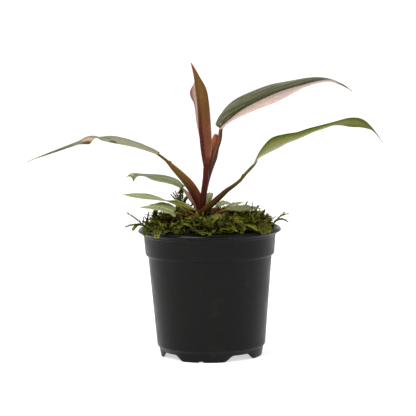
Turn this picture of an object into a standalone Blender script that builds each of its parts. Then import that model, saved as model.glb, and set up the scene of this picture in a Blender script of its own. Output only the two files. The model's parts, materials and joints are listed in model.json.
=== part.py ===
"""A pink variegated philodendron standing in its four inch nursery pot, under a mound of moss.

Metres, +Z up. The plant's own points are written in millimetres from the pot's axis at the floor, and
place() turns them to metres. The origin is on the floor, midway between the outermost leaf tips.
"""

import random
from dataclasses import dataclass

import bmesh
import bpy
import numpy as np
from mathutils import Vector
from mathutils.bvhtree import BVHTree

MM = 0.001
POT_AXIS_X = 4.3  # mm: puts the origin midway between the left and right leaf tips
CLEARANCE = 0.35  # mm between pieces that touch
LOOSE = 0.5  # mm round a petiole in the moss, and between its end and the blade

RIM_RADIUS = 54.0
POT_HEIGHT = 96.6
WALL = 1.2
COLLAR_FOOT = 77.6  # height of the step where the collar meets the body
FLOOR_TOP = 7.6
FLOOR_UNDER = 6.3
POT_STEPS = 40
FOOT_GAP_HEIGHT = 5.4
FOOT_GAP_WIDTH = 18.0
FOOT_GAP_ANGLE = 31.5  # degrees from +X; the four gaps lie a quarter turn apart
DRAIN_RADIUS = 4.0
DRAIN_CIRCLE = 25.0
DRAIN_COUNT = 6

MIX_TOP = 90.0
STEM_AXIS = (-6.5, 0.0)
STEM_RADIUS = 5.0
STEM_FOOT = 58.0
STEM_TOP = 109.0

MOSS_RADIUS = 52.0
MOSS_EDGE = 97.6  # height of the mound where it passes over the lip
MOSS_RISE = 9.0
MOSS_LUMPS = 1.1
SPRIGS = 66
SPRIG_RADIUS = 1.25
SPRIG_SEED = 11

BLADE_THICKNESS = 0.8
GOLDEN_ANGLE = np.pi * (3 - np.sqrt(5))


@dataclass(frozen=True)
class Side:
    """Half of a blade: how steeply it leaves the midrib, and how much it curls on, in degrees from base to tip."""

    fold: tuple
    curl: tuple = (0.0, 0.0)


@dataclass(frozen=True)
class Leaf:
    """A blade and its petiole. Lengths are in millimetres, and lists run evenly from base to tip."""

    name: str
    midrib: tuple
    face: tuple  # where the upper face looks
    half_width: float
    left: Side
    right: Side
    peak: float  # share of the length where the blade is widest
    base: float  # share of the full width at the very base
    taper: float  # over 1 for a drawn-out tip
    lobe: float  # how far the base lobes reach back
    petiole: tuple
    radii: tuple
    sheath_height: float = 0.0  # up to this height the petiole's base belongs to the stem
    rows: int = 14
    columns: int = 4


LEAVES = (
    Leaf(
        name="new",
        midrib=((-2, -1, 143), (-4, -2, 155), (-5.5, -3, 171), (-6.5, -3, 186), (-7.5, -1, 196),
                (-9.5, 2, 209.5), (-12, 5, 220)),
        face=((0.15, 1, 0.1), (0.1, 1, 0.1), (0.1, 1, 0.1), (0.2, 1, 0.1)),
        half_width=12,
        left=Side((23, 41, 48, 47, 73), (20, 20)),
        right=Side((64, 55, 51, 29, 86), (30, 30, 20, 0)),
        peak=0.44, base=0.15, taper=0.75, lobe=0,
        petiole=((-6.5, 0, 104), (-5.5, -1, 111), (-4.5, -1.5, 118), (-3.5, -1.5, 125), (-2.5, -1.5, 131.5),
                 (-2, -1.5, 137.5), (-2, -1, 143)),
        radii=(2.6, 2.2, 2.0, 1.9, 1.8, 1.7),
        sheath_height=120, rows=20, columns=6,
    ),
    Leaf(
        name="pink",
        midrib=((9.5, 2, 171), (16, 3, 177), (29, 5, 186), (50, 8, 195.5), (68, 10, 201), (89.5, 12, 205.5),
                (100.5, 13, 202.5), (109, 14, 196.5)),
        face=((-0.3, -0.35, 1), (0, -0.35, 1), (0, -0.35, 1), (0, -0.3, 1)),
        half_width=20,
        left=Side((24, 3, -3, -4, -44)),
        right=Side((19, 11, 9, 13, -32)),
        peak=0.34, base=0.32, taper=1.3, lobe=1,
        petiole=((-6.5, 0, 104), (-3.5, 2, 111.5), (-2, 2.5, 118.5), (-0.5, 2.5, 126.5), (0.5, 2.5, 134),
                 (2, 2.5, 141.5), (4, 2.5, 149), (6.5, 2.5, 156), (8.5, 2.5, 162.5), (9.5, 2, 171)),
        radii=(2.4, 1.8, 1.5, 1.4, 1.6, 1.5, 1.35, 1.2),
        sheath_height=120, rows=24, columns=6,
    ),
    Leaf(
        name="right",
        midrib=((33.5, -12, 145), (38, -13.5, 152.5), (46.5, -16, 159.5), (56.5, -18, 163.5), (67, -20, 166),
                (82.5, -23, 171), (99, -26, 176), (109.5, -28, 176), (117.5, -29, 172), (122.5, -29.5, 168),
                (128, -30, 161)),
        face=((-0.5, 0, 1), (-0.3, 0, 1), (-0.1, 0, 1), (-0.2, 0, 1), (0.2, 0, 1), (0.5, 0, 1)),
        half_width=15,
        left=Side((30, 10, 6, 6, 4, 10, 0)),
        right=Side((-10, -25, -14, -4, -5, -20, 0)),
        peak=0.36, base=0.3, taper=1.3, lobe=1,
        petiole=((-6.5, 0, 104), (-4, -4.5, 110), (0, -5.5, 113.5), (4, -6.5, 117), (8.5, -7, 121),
                 (13, -8, 125), (18, -9, 128.5), (23, -9.5, 132.5), (27.5, -11, 138), (33, -12, 145)),
        radii=(2.6, 2.6, 2.5, 2.4, 2.0, 1.6, 1.45, 1.4, 1.3),
        sheath_height=113, rows=24, columns=6,
    ),
    Leaf(
        name="left",
        midrib=((-38.5, 4, 153), (-46, 5, 156.5), (-56, 6, 160.5), (-66.5, 7, 163.5), (-77, 8, 165),
                (-86.5, 9, 165), (-94, 9.5, 163.5), (-103.5, 10, 160), (-119.5, 11, 154), (-137, 12, 147)),
        face=((0.3, 0, 1), (0.2, 0, 1), (0, 0, 1), (-0.2, 0, 1), (-0.4, 0, 1)),
        half_width=15,
        left=Side((-12, -20, -12, -14, -6, -6, 0)),
        right=Side((11, 8, 4, 2, -3, -4, 0)),
        peak=0.3, base=0.35, taper=2.0, lobe=4,
        petiole=((-6.5, 0, 104), (-6.5, 1.5, 112), (-8, 2, 118), (-11, 2.5, 124), (-15.5, 3, 130.5),
                 (-21, 3, 136.5), (-27, 3.5, 142.5), (-32.5, 4, 148), (-38.5, 4, 153)),
        radii=(2.6, 3.2, 3.6, 3.5, 3.2, 2.4, 1.9, 1.5, 1.2),
        sheath_height=121, rows=24, columns=6,
    ),
    Leaf(
        name="small_back",
        midrib=((-21, 14, 125.5), (-28, 15, 129), (-37, 16, 132), (-46, 17, 133.5), (-53, 18, 134.5),
                (-59, 18.5, 134.5), (-63, 19, 131.5)),
        face=((0.2, -0.2, 1), (0.1, -0.2, 1), (0, -0.2, 1), (-0.3, -0.3, 1)),
        half_width=9.5,
        left=Side((8, 5, 5, -60, -50)),
        right=Side((8, 5, 5, 0, 0)),
        peak=0.3, base=0.4, taper=1.2, lobe=2.5,
        petiole=((-8.5, 6, 107), (-9.5, 7.5, 112.5), (-13, 9, 117), (-17.5, 12, 121.5), (-21, 14, 125.5)),
        radii=(1.4, 2.2, 2.2, 1.6, 1.0),
    ),
    Leaf(
        name="small_front",
        midrib=((-19, -10, 114), (-24.5, -11, 117.5), (-30.5, -12, 118.5), (-38, -13, 120), (-47.5, -14, 122),
                (-56.5, -15, 123), (-66, -16, 124.5)),
        face=((0, 0.9, 0.8), (0, 0.7, 1), (0, 0.1, 1), (-0.1, -0.1, 1), (-0.1, -0.1, 1), (-0.1, -0.1, 1)),
        half_width=8,
        left=Side((10, 10)),
        right=Side((10, 10)),
        peak=0.45, base=0.5, taper=1.2, lobe=8,
        petiole=((-6.5, -6.5, 103), (-7.5, -9.5, 105), (-11, -10.5, 107), (-14.5, -10.5, 110),
                 (-18.5, -10, 114)),
        radii=(1.1, 1.1, 1.1, 1.0, 0.9),
    ),
    Leaf(
        name="low_left",
        midrib=((-28.5, -20, 112.5), (-33.5, -22, 114.5), (-39.5, -24, 115), (-45, -26, 115.5),
                (-51.5, -28, 116)),
        face=((-0.1, -0.35, 1), (-0.1, -0.35, 1)),
        half_width=9.5,
        left=Side((6, 6)),
        right=Side((10, 8)),
        peak=0.2, base=0.6, taper=1.0, lobe=4,
        petiole=((-10, -6, 99), (-13, -10, 103), (-18, -14, 107.5), (-23, -17.5, 110.5), (-28.5, -20, 112.5)),
        radii=(1.2, 1.2, 1.1, 1.0, 0.9),
        rows=10,
    ),
    Leaf(
        name="low_right",
        midrib=((12.5, -13, 112), (18.5, -15, 112.5), (25, -17, 112.5), (31.5, -19, 112.5), (38.5, -21, 112.5)),
        face=((0, -0.05, 1), (0, -0.05, 1)),
        half_width=9,
        left=Side((6, 6)),
        right=Side((-6, -6)),
        peak=0.4, base=0.35, taper=1.1, lobe=3,
        petiole=((-0.5, -6, 101), (2.5, -9, 105), (6.5, -11.5, 109), (12.5, -13, 112)),
        radii=(1.2, 1.2, 1.0, 0.9),
        rows=10,
    ),
    Leaf(
        name="mid_right",
        midrib=((7.5, 2, 112.5), (11, 4, 114), (15, 6, 114), (19.5, 8, 112.5)),
        face=((-0.2, -0.45, 1), (0, -0.45, 1), (0.2, -0.4, 1)),
        half_width=7,
        left=Side((6, 6)),
        right=Side((6, 6)),
        peak=0.35, base=0.5, taper=1.0, lobe=2.5,
        petiole=((0.3, 0, 103), (3, 0.5, 107), (5, 1, 110), (7.5, 2, 112.5)),
        radii=(1.2, 1.2, 1.1, 0.9),
        rows=8,
    ),
    Leaf(
        name="back_right",
        midrib=((12.5, 15, 111), (17, 17, 112.5), (22, 19, 113.5), (27, 21, 114)),
        face=((-0.2, -0.1, 1), (0, -0.1, 1)),
        half_width=6,
        left=Side((10, 10)),
        right=Side((10, 10)),
        peak=0.35, base=0.5, taper=1.0, lobe=2,
        petiole=((-1.5, 4.5, 101), (2, 8, 105), (7, 11.5, 108.5), (12.5, 15, 111)),
        radii=(1.1, 1.0, 0.9, 0.8),
        rows=8,
    ),
    Leaf(
        name="crown_back",
        midrib=((-1.5, 10, 113.5), (-0.5, 12, 117.5), (0.5, 15, 119.5), (1.5, 19, 120.5), (2, 23, 120)),
        face=((0.1, -0.8, 0.5), (0.1, -0.6, 0.8), (0.1, -0.2, 1), (0, 0.1, 1)),
        half_width=7,
        left=Side((6, 6)),
        right=Side((6, 6)),
        peak=0.35, base=0.5, taper=1.0, lobe=2,
        petiole=((-4, 6.2, 101), (-3, 8, 106), (-1.5, 10, 113.5)),
        radii=(1.2, 1.1, 0.9),
        rows=8,
    ),
    Leaf(
        name="front_low",
        midrib=((1, -18, 108.5), (4.5, -20.5, 109), (8.5, -23.5, 109), (12.5, -27, 107.5)),
        face=((-0.1, -0.4, 1), (0, -0.4, 1), (0.2, -0.4, 1)),
        half_width=4.5,
        left=Side((6, 6)),
        right=Side((6, 6)),
        peak=0.35, base=0.5, taper=1.0, lobe=1.5,
        petiole=((-4.2, -6.3, 99), (-2.5, -11, 104), (1, -18, 108.5)),
        radii=(1.1, 1.0, 0.8),
        rows=8,
    ),
)

SHEATH = Leaf(
    name="sheath",
    midrib=((-1.5, 7, 122.5), (0, 7, 133), (1.5, 7, 142), (3, 6.5, 149.5), (4, 6.5, 158), (4.5, 6.5, 166)),
    face=((0, -1, 0), (0, -1, 0)),
    half_width=3.2,
    left=Side((30, 30)),
    right=Side((30, 30)),
    peak=0.6, base=0.7, taper=0.5, lobe=0,
    petiole=(), radii=(), rows=10, columns=4,
)


def place(points):
    """Millimetres from the pot's axis to metres from the origin."""
    return (np.asarray(points, float) + (POT_AXIS_X, 0, 0)) * MM


def unit(vectors):
    return vectors / np.linalg.norm(vectors, axis=-1, keepdims=True)


def spline(values, t):
    """A smooth curve through values, which stand evenly from t = 0 to t = 1 (Catmull-Rom)."""
    points = np.asarray(values, float)
    if points.ndim == 1:
        return spline(points[:, None], t)[:, 0]
    ends = np.vstack([2 * points[0] - points[1], points, 2 * points[-1] - points[-2]])
    at = np.clip(t, 0, 1) * (len(points) - 1)
    first = np.minimum(at.astype(int), len(points) - 2)
    f = (at - first)[:, None]
    a, b, c, d = (ends[first + k] for k in range(4))
    return 0.5 * (2 * b + (c - a) * f + (2 * a - 5 * b + 4 * c - d) * f**2 + (3 * b - a - 3 * c + d) * f**3)


def even(points, t):
    """Points at shares t of the length of the smooth curve through points."""
    fine = spline(points, np.linspace(0, 1, 300))
    length = np.concatenate([[0], np.cumsum(np.linalg.norm(np.diff(fine, axis=0), axis=1))])
    return np.stack([np.interp(t * length[-1], length, fine[:, k]) for k in range(3)], axis=-1)


def frame_along(leaf, t):
    """The midrib's point, its direction, the upper face's direction and the right-hand direction at t."""
    step = 0.01
    middle = even(leaf.midrib, t)
    along = unit(even(leaf.midrib, np.minimum(t + step, 1)) - even(leaf.midrib, np.maximum(t - step, 0)))
    face = spline(leaf.face, t)
    up = unit(face - (face * along).sum(axis=1, keepdims=True) * along)
    return middle, along, up, np.cross(along, up)


def width_share(leaf, t):
    """The outline: a quarter sine from the base to the widest place, then a taper to the tip."""
    rise = leaf.base + (1 - leaf.base) * np.sin(np.pi / 2 * np.clip(t / leaf.peak, 0, 1))
    fall = (1 - np.clip((t - leaf.peak) / (1 - leaf.peak), 0, 1) ** 1.6) ** leaf.taper
    return np.where(t < leaf.peak, rise, fall)


def blade_points(leaf, t, v):
    """The blade's middle surface, at shares t of its length and v of its half width, from -1 left to 1 right.

    Each half is an arc that leaves the midrib at the fold angle and bends on by the curl.
    """
    middle, along, up, across = frame_along(leaf, t)
    width = np.maximum(leaf.half_width * width_share(leaf, t), 0.45)
    is_right = v > 0
    fold = np.radians(np.where(is_right, spline(leaf.right.fold, t), spline(leaf.left.fold, t)))
    curl = np.radians(np.where(is_right, spline(leaf.right.curl, t), spline(leaf.left.curl, t)))
    bend = np.where(np.abs(curl) < 0.001, 0.001, curl)
    share = np.abs(v)
    out = width * (np.sin(fold + bend * share) - np.sin(fold)) / bend
    rise = width * (np.cos(fold) - np.cos(fold + bend * share)) / bend
    back = leaf.lobe * np.sin(0.8 * np.pi * share) * np.clip(1 - t / 0.3, 0, 1) ** 2
    return (middle + across * (np.sign(v) * out)[:, None] + up * rise[:, None] - along * back[:, None])


def add_object(name, data, material, collection):
    obj = bpy.data.objects.new(name, data)
    collection.objects.link(obj)
    if material:
        data.materials.append(material)
    return obj


def make_material(name, color, roughness):
    material = bpy.data.materials.new(name)
    material.use_nodes = True
    shader = material.node_tree.nodes["Principled BSDF"]
    shader.inputs["Base Color"].default_value = (*color, 1)
    shader.inputs["Roughness"].default_value = roughness
    return material


def make_turned(name, profile, steps, material, collection):
    """A turned solid from (radius, height) points in mm that run up its inside and down its outside."""
    mesh = bpy.data.meshes.new(name)
    points = [(radius * MM, 0, height * MM) for radius, height in profile]
    mesh.from_pydata(points, [(i, i + 1) for i in range(len(points) - 1)], [])
    obj = add_object(name, mesh, material, collection)
    obj.location.x = POT_AXIS_X * MM
    screw = obj.modifiers.new("Turn", "SCREW")
    screw.steps = steps
    screw.render_steps = steps
    screw.use_merge_vertices = True
    screw.merge_threshold = 0.00001
    return obj


def add_cylinder(name, radius, low, high, x, y, sides, collection):
    """A cylinder between two heights, in mm from the pot's axis."""
    mesh = bpy.data.meshes.new(name)
    body = bmesh.new()
    bmesh.ops.create_cone(body, cap_ends=True, segments=sides, radius1=radius * MM, radius2=radius * MM,
                          depth=(high - low) * MM)
    body.to_mesh(mesh)
    body.free()
    obj = add_object(name, mesh, None, collection)
    obj.location = Vector(place((x, y, (low + high) / 2)))
    return obj


def tube_object(name, points, radii, sides_level, collection):
    """A tube through points in mm, with a radius at each, as a bevelled curve with filled caps."""
    curve = bpy.data.curves.new(name, "CURVE")
    curve.dimensions = "3D"
    curve.bevel_depth = MM
    curve.bevel_resolution = sides_level
    curve.use_fill_caps = True
    line = curve.splines.new("POLY")
    line.points.add(len(points) - 1)
    for point, position, radius in zip(line.points, place(points), radii):
        point.co = (*position, 1)
        point.radius = radius
    return add_object(name, curve, None, collection)


def to_mesh_object(obj, collection):
    """Turns a curve object to a closed mesh object of the same name, so that a Boolean can take it."""
    graph = bpy.context.evaluated_depsgraph_get()
    mesh = bpy.data.meshes.new_from_object(obj.evaluated_get(graph))
    body = bmesh.new()
    body.from_mesh(mesh)
    bmesh.ops.remove_doubles(body, verts=body.verts, dist=0.000001)
    bmesh.ops.recalc_face_normals(body, faces=body.faces)
    body.to_mesh(mesh)
    body.free()
    name = obj.name
    bpy.data.objects.remove(obj)
    return add_object(name, mesh, None, collection)


def apply_boolean(obj, operation, collection):
    """Joins or cuts obj with every object of a collection, applies it, and removes those objects."""
    boolean = obj.modifiers.new(operation, "BOOLEAN")
    boolean.operation = operation
    boolean.operand_type = "COLLECTION"
    boolean.collection = collection
    boolean.solver = "MANIFOLD"
    graph = bpy.context.evaluated_depsgraph_get()
    mesh = bpy.data.meshes.new_from_object(obj.evaluated_get(graph))
    obj.modifiers.clear()
    obj.data = mesh
    for other in list(collection.objects):
        bpy.data.objects.remove(other)


def keep_largest_body(mesh):
    """Removes the loose scraps that a cut leaves."""
    body = bmesh.new()
    body.from_mesh(mesh)
    groups = []
    left = set(body.verts)
    while left:
        reached = {left.pop()}
        front = set(reached)
        while front:
            front = {edge.other_vert(vert) for vert in front for edge in vert.link_edges} - reached
            reached |= front
        left -= reached
        groups.append(reached)
    groups.sort(key=len)
    scraps = [vert for group in groups[:-1] for vert in group]
    bmesh.ops.delete(body, geom=scraps, context="VERTS")
    body.to_mesh(mesh)
    body.free()


def build_pot(parts, cutters):
    """The pot: rolled lip, collar, stepped body, and a skirt cut into four feet under a drained floor."""
    inner_lip = RIM_RADIUS - 3.6
    profile = (
        (0, FLOOR_TOP), (38.4, FLOOR_TOP), (39.6, 9.0), (44.6, 75.8), (47.1, COLLAR_FOOT + 0.4), (48.2, 91.6),
        (inner_lip, 94.6), (inner_lip + 0.9, POT_HEIGHT - 0.2), (RIM_RADIUS - 1.4, POT_HEIGHT),
        (RIM_RADIUS - 0.3, POT_HEIGHT - 0.6), (RIM_RADIUS, POT_HEIGHT - 1.6), (RIM_RADIUS - 0.6, 93.8),
        (RIM_RADIUS - 3.4, 93.2), (50.1, 92.4), (49.5, 91.5), (48.5, COLLAR_FOOT), (48.0, COLLAR_FOOT - 1.0),
        (46.0, COLLAR_FOOT - 1.6), (45.75, COLLAR_FOOT - 2.2), (40.6, 8.2), (39.4, 6.6), (38.0, 0),
        (38.0 - WALL, 0), (37.6, 5.4), (36.6, FLOOR_UNDER), (0, FLOOR_UNDER),
    )
    plastic = make_material("black polypropylene", (0.018, 0.018, 0.018), 0.4)
    pot = make_turned("pot", profile, POT_STEPS, plastic, parts)
    for quarter in range(4):
        angle = np.radians(FOOT_GAP_ANGLE + 90 * quarter)
        mesh = bpy.data.meshes.new("foot_gap")
        body = bmesh.new()
        bmesh.ops.create_cube(body, size=1)
        bmesh.ops.scale(body, vec=(12 * MM, FOOT_GAP_WIDTH * MM, 2 * FOOT_GAP_HEIGHT * MM), verts=body.verts)
        body.to_mesh(mesh)
        body.free()
        gap = add_object("foot_gap", mesh, None, cutters)
        gap.location = Vector(place((37.5 * np.cos(angle), 37.5 * np.sin(angle), 0)))
        gap.rotation_euler.z = angle
    for index in range(DRAIN_COUNT):
        angle = 2 * np.pi * index / DRAIN_COUNT
        add_cylinder("drain", DRAIN_RADIUS, FLOOR_UNDER - 2, FLOOR_TOP + 2, DRAIN_CIRCLE * np.cos(angle),
                     DRAIN_CIRCLE * np.sin(angle), 12, cutters)
    apply_boolean(pot, "DIFFERENCE", cutters)
    return pot


def build_potting_mix(parts, cutters):
    """The mix fills the pot to just under the collar's top, and has a plain hole for the stem's foot."""
    profile = (
        (0, MIX_TOP), (47.6, MIX_TOP), (46.7, COLLAR_FOOT + 0.7), (44.2, 75.9), (39.2, 9.2), (38.1, FLOOR_TOP + 0.3),
        (0, FLOOR_TOP + 0.3),
    )
    mix = make_turned("potting_mix", profile, 32, make_material("bark and peat", (0.05, 0.035, 0.025), 0.95), parts)
    add_cylinder("stem_hole", STEM_RADIUS + CLEARANCE, STEM_FOOT - CLEARANCE, MIX_TOP + 5, *STEM_AXIS, 16, cutters)
    apply_boolean(mix, "DIFFERENCE", cutters)
    return mix


def petiole_run(leaf, share_from, share_to, count):
    """Points and radii of a stretch of the petiole, whose end goes under the blade's base, clear of it."""
    start, _, up, _ = frame_along(leaf, np.zeros(1))
    under = start[0] - up[0] * (leaf.radii[-1] + BLADE_THICKNESS / 2 + LOOSE)
    path = (*leaf.petiole[:-1], tuple(under))
    t = np.linspace(share_from, share_to, count)
    return even(path, t), spline(leaf.radii, t)


def sheath_share(leaf):
    """The share of the petiole's length at which it leaves the stem's own solid."""
    t = np.linspace(0, 1, 200)
    points, _ = petiole_run(leaf, 0, 1, 200)
    return float(np.interp(leaf.sheath_height, points[:, 2], t))


def build_stem(parts, helpers):
    """The short stem with its foot in the mix, joined with the sheathing bases of the four large leaves."""
    stem_points = [(*STEM_AXIS, height) for height in (STEM_FOOT, 80, 98, 105, STEM_TOP)]
    stem = to_mesh_object(tube_object("stem", stem_points, (4.2, 4.8, STEM_RADIUS, 4.6, 3.0), 3, parts), parts)
    stem.data.materials.append(make_material("red brown stem", (0.16, 0.05, 0.025), 0.5))
    for leaf in LEAVES:
        if leaf.sheath_height:
            points, radii = petiole_run(leaf, 0, sheath_share(leaf), 6)
            to_mesh_object(tube_object("sheath_base", points, radii, 2, parts), helpers)
    apply_boolean(stem, "UNION", helpers)
    return stem


def build_petiole(leaf, parts):
    """The petiole, from just above the stem's solid to just under the blade."""
    count, level = (9, 2) if leaf.sheath_height else (6, 1)
    start = sheath_share(leaf) + 0.015 if leaf.sheath_height else 0
    points, radii = petiole_run(leaf, start, 1, count)
    color = (0.16, 0.06, 0.03) if leaf.name in ("new", "pink") else (0.25, 0.2, 0.09)
    petiole = to_mesh_object(tube_object(f"petiole_{leaf.name}", points, radii, level, parts), parts)
    petiole.data.materials.append(make_material(f"{leaf.name} petiole", color, 0.5))
    return petiole


def build_blade(leaf, name, color, parts):
    """The blade: a grid bent to the leaf's surface, split into triangles, then given its thickness."""
    mesh = bpy.data.meshes.new(name)
    body = bmesh.new()
    bmesh.ops.create_grid(body, x_segments=leaf.rows, y_segments=leaf.columns, size=1)
    places = np.array([vert.co for vert in body.verts])
    surface = place(blade_points(leaf, (places[:, 0] + 1) / 2, places[:, 1]))
    for vert, position in zip(body.verts, surface):
        vert.co = position
    bmesh.ops.triangulate(body, faces=body.faces)
    body.to_mesh(mesh)
    body.free()
    obj = add_object(name, mesh, make_material(f"{leaf.name} blade", color, 0.45), parts)
    solidify = obj.modifiers.new("Thickness", "SOLIDIFY")
    solidify.thickness = BLADE_THICKNESS * MM
    solidify.offset = 0
    return obj


def moss_height(x, y):
    """The mound's height: a flat dome with soft lumps, a little higher behind."""
    radius = np.hypot(x, y)
    lumps = np.sin(0.23 * x + 1.1) * np.sin(0.27 * y + 0.4) + 0.6 * np.sin(0.41 * x - 0.33 * y)
    dome = MOSS_RISE * (1 - np.clip(radius / MOSS_RADIUS, 0, 1) ** 3)
    return MOSS_EDGE + dome + MOSS_LUMPS * lumps * np.clip(1.2 - radius / MOSS_RADIUS, 0, 1) + 0.03 * y


def build_moss_mat(parts):
    """The mound's core: a ball whose upper half is spread to the dome and whose lower half fits in the lip."""
    mesh = bpy.data.meshes.new("moss")
    body = bmesh.new()
    bmesh.ops.create_uvsphere(body, u_segments=32, v_segments=14, radius=1)
    ball = np.array([vert.co for vert in body.verts])
    turn = np.arctan2(ball[:, 1], ball[:, 0])
    latitude = np.degrees(np.arcsin(np.clip(ball[:, 2], -1, 1)))
    radius = np.interp(latitude, (-90, -50, -30, -15, 0, 20, 45, 90), (0, 44, 47.3, 49.3, MOSS_RADIUS, 48, 36, 0))
    low = np.interp(latitude, (-50, -30, -15, 0), (MIX_TOP + CLEARANCE, 91.4, 94.9, MOSS_EDGE + 0.1))
    x, y = radius * np.cos(turn), radius * np.sin(turn)
    z = np.where(latitude > 2, moss_height(x, y), low)
    for vert, position in zip(body.verts, place(np.stack([x, y, z], axis=-1))):
        vert.co = position
    body.to_mesh(mesh)
    body.free()
    return add_object("moss", mesh, make_material("sheet moss", (0.07, 0.075, 0.018), 0.9), parts)


def sprig_points(draw, index):
    """One sprig's spine: it grows from the mound on a spiral, leans outwards, and arches over."""
    share = (index + 0.5) / SPRIGS
    radius = 8 + (MOSS_RADIUS - 9) * np.sqrt(share)
    turn = index * GOLDEN_ANGLE
    x, y = radius * np.cos(turn), radius * np.sin(turn)
    foot = np.array([x, y, moss_height(x, y) - 2.2])
    heading = turn + draw.uniform(-1.3, 1.3) * (1.3 - share)
    out = np.array([np.cos(heading), np.sin(heading), 0])
    reach = draw.uniform(2.5, 6.0) + 4.5 * share**3
    rise = draw.uniform(4.5, 7.0) - 2.5 * share**3
    t = np.linspace(0, 1, 4)[:, None]
    return foot + out * reach * t**1.3 + np.array([0, 0, 1]) * rise * np.sin(0.55 * np.pi * t)


def clear_of_lip(points, radius):
    """Lifts what passes over the pot's lip, so that it lies on the lip and not in it."""
    distance = np.hypot(points[:, 0], points[:, 1])
    over = distance > MOSS_RADIUS - 8
    points[:, 2] = np.where(over, np.maximum(points[:, 2], POT_HEIGHT + radius + 0.9), points[:, 2])
    return points


def add_sprigs(moss, others, helpers):
    """Joins the sprigs with the mound, leaving out those that would come within 1.5 mm of another piece."""
    trees = []
    graph = bpy.context.evaluated_depsgraph_get()
    for other in others:
        trees.append(BVHTree.FromObject(other, graph))
    draw = random.Random(SPRIG_SEED)
    for index in range(SPRIGS):
        spine = sprig_points(draw, index)
        side = draw.choice((-1, 1)) * draw.uniform(0.8, 1.2)
        radii = SPRIG_RADIUS * np.array([1.0, 0.85, 0.65, 0.35])
        direction = spine[-1] - spine[0]
        across = unit(np.cross(direction, (0, 0, 1)))
        twig = np.array([spine[1], spine[2] + across * side * 2.2, spine[2] + across * side * 4 + (0, 0, 0.6)])
        for points, sizes in ((spine, radii), (twig, radii[1:] * 0.8)):
            points = clear_of_lip(points, SPRIG_RADIUS)
            tested = spline(points, np.linspace(0, 1, 7))
            near = min(tree.find_nearest(Vector(place(point)))[3] for tree in trees for point in tested)
            if near > (SPRIG_RADIUS + 1.5) * MM:
                to_mesh_object(tube_object("sprig", points, sizes, 0, moss.users_collection[0]), helpers)
    apply_boolean(moss, "UNION", helpers)


def build_moss(parts, cutters, helpers, plant):
    """The moss: its mound, opened round the stem and the petioles that come through it, with its sprigs."""
    moss = build_moss_mat(parts)
    add_cylinder("crown_hole", STEM_RADIUS + 1.2, MIX_TOP - 2, 120, *STEM_AXIS, 14, cutters)
    for leaf in LEAVES:
        if not leaf.sheath_height:
            points, radii = petiole_run(leaf, 0, 1, 6)
            points[0] -= unit(points[1] - points[0]) * LOOSE
            points[-1] += unit(points[-1] - points[-2]) * LOOSE
            to_mesh_object(tube_object("channel", points, radii + LOOSE, 1, parts), cutters)
    apply_boolean(moss, "DIFFERENCE", cutters)
    keep_largest_body(moss.data)
    add_sprigs(moss, plant, helpers)
    keep_largest_body(moss.data)
    return moss


BLADE_COLORS = {
    "new": (0.25, 0.13, 0.06),
    "pink": (0.07, 0.085, 0.025),
    "right": (0.22, 0.24, 0.08),
    "left": (0.3, 0.32, 0.17),
}
SMALL_BLADE_COLOR = (0.24, 0.26, 0.1)


def main():
    for obj in list(bpy.data.objects):
        bpy.data.objects.remove(obj)
    scene = bpy.context.scene.collection
    parts = bpy.data.collections.new("philodendron in nursery pot")
    cutters = bpy.data.collections.new("cutters")
    helpers = bpy.data.collections.new("helpers")
    for collection in (parts, cutters, helpers):
        scene.children.link(collection)
    build_pot(parts, cutters)
    build_potting_mix(parts, cutters)
    plant = [build_stem(parts, helpers)]
    for leaf in LEAVES:
        plant.append(build_petiole(leaf, parts))
        plant.append(build_blade(leaf, f"blade_{leaf.name}", BLADE_COLORS.get(leaf.name, SMALL_BLADE_COLOR), parts))
    plant.append(build_blade(SHEATH, "sheath", (0.46, 0.12, 0.05), parts))
    build_moss(parts, cutters, helpers, plant)
    for obj in parts.objects:
        obj.data.shade_smooth()


main()
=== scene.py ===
"""The looks of a pink variegated philodendron standing in its four inch nursery pot, under a mound of moss.

Shapes are worked out in millimetres from the pot's axis at the floor, and place() turns them to metres in the
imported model's frame. Every piece is a surface computed with numpy as a function of two parameters.
"""

import json
import logging
from collections.abc import Sequence
from dataclasses import dataclass, field, replace
from enum import Enum
from typing import Any

import bpy
import numpy as np
from mathutils import Matrix, Vector
from mathutils.bvhtree import BVHTree

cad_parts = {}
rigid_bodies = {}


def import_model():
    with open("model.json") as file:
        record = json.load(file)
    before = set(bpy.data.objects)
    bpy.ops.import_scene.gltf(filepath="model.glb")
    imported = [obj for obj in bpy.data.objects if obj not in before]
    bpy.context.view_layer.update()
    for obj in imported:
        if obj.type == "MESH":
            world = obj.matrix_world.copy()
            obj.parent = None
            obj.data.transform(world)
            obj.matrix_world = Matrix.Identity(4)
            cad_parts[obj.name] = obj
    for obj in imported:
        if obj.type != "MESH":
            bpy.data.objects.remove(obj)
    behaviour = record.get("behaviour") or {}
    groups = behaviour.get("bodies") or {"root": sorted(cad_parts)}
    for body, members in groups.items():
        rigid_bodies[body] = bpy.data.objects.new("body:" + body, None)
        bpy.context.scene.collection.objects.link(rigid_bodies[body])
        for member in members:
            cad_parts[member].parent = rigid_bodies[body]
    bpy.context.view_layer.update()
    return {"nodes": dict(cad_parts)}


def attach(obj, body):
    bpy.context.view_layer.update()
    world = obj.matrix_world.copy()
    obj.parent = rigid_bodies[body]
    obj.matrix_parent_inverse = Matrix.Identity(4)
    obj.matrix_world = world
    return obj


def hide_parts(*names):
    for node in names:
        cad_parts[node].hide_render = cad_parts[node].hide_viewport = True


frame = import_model()

log = logging.getLogger("philodendron")

MM = 0.001
POT_AXIS_X = 4.3  # mm from the model's origin to the pot's axis
STEM_AXIS = (-6.5, 0.0)

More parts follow.
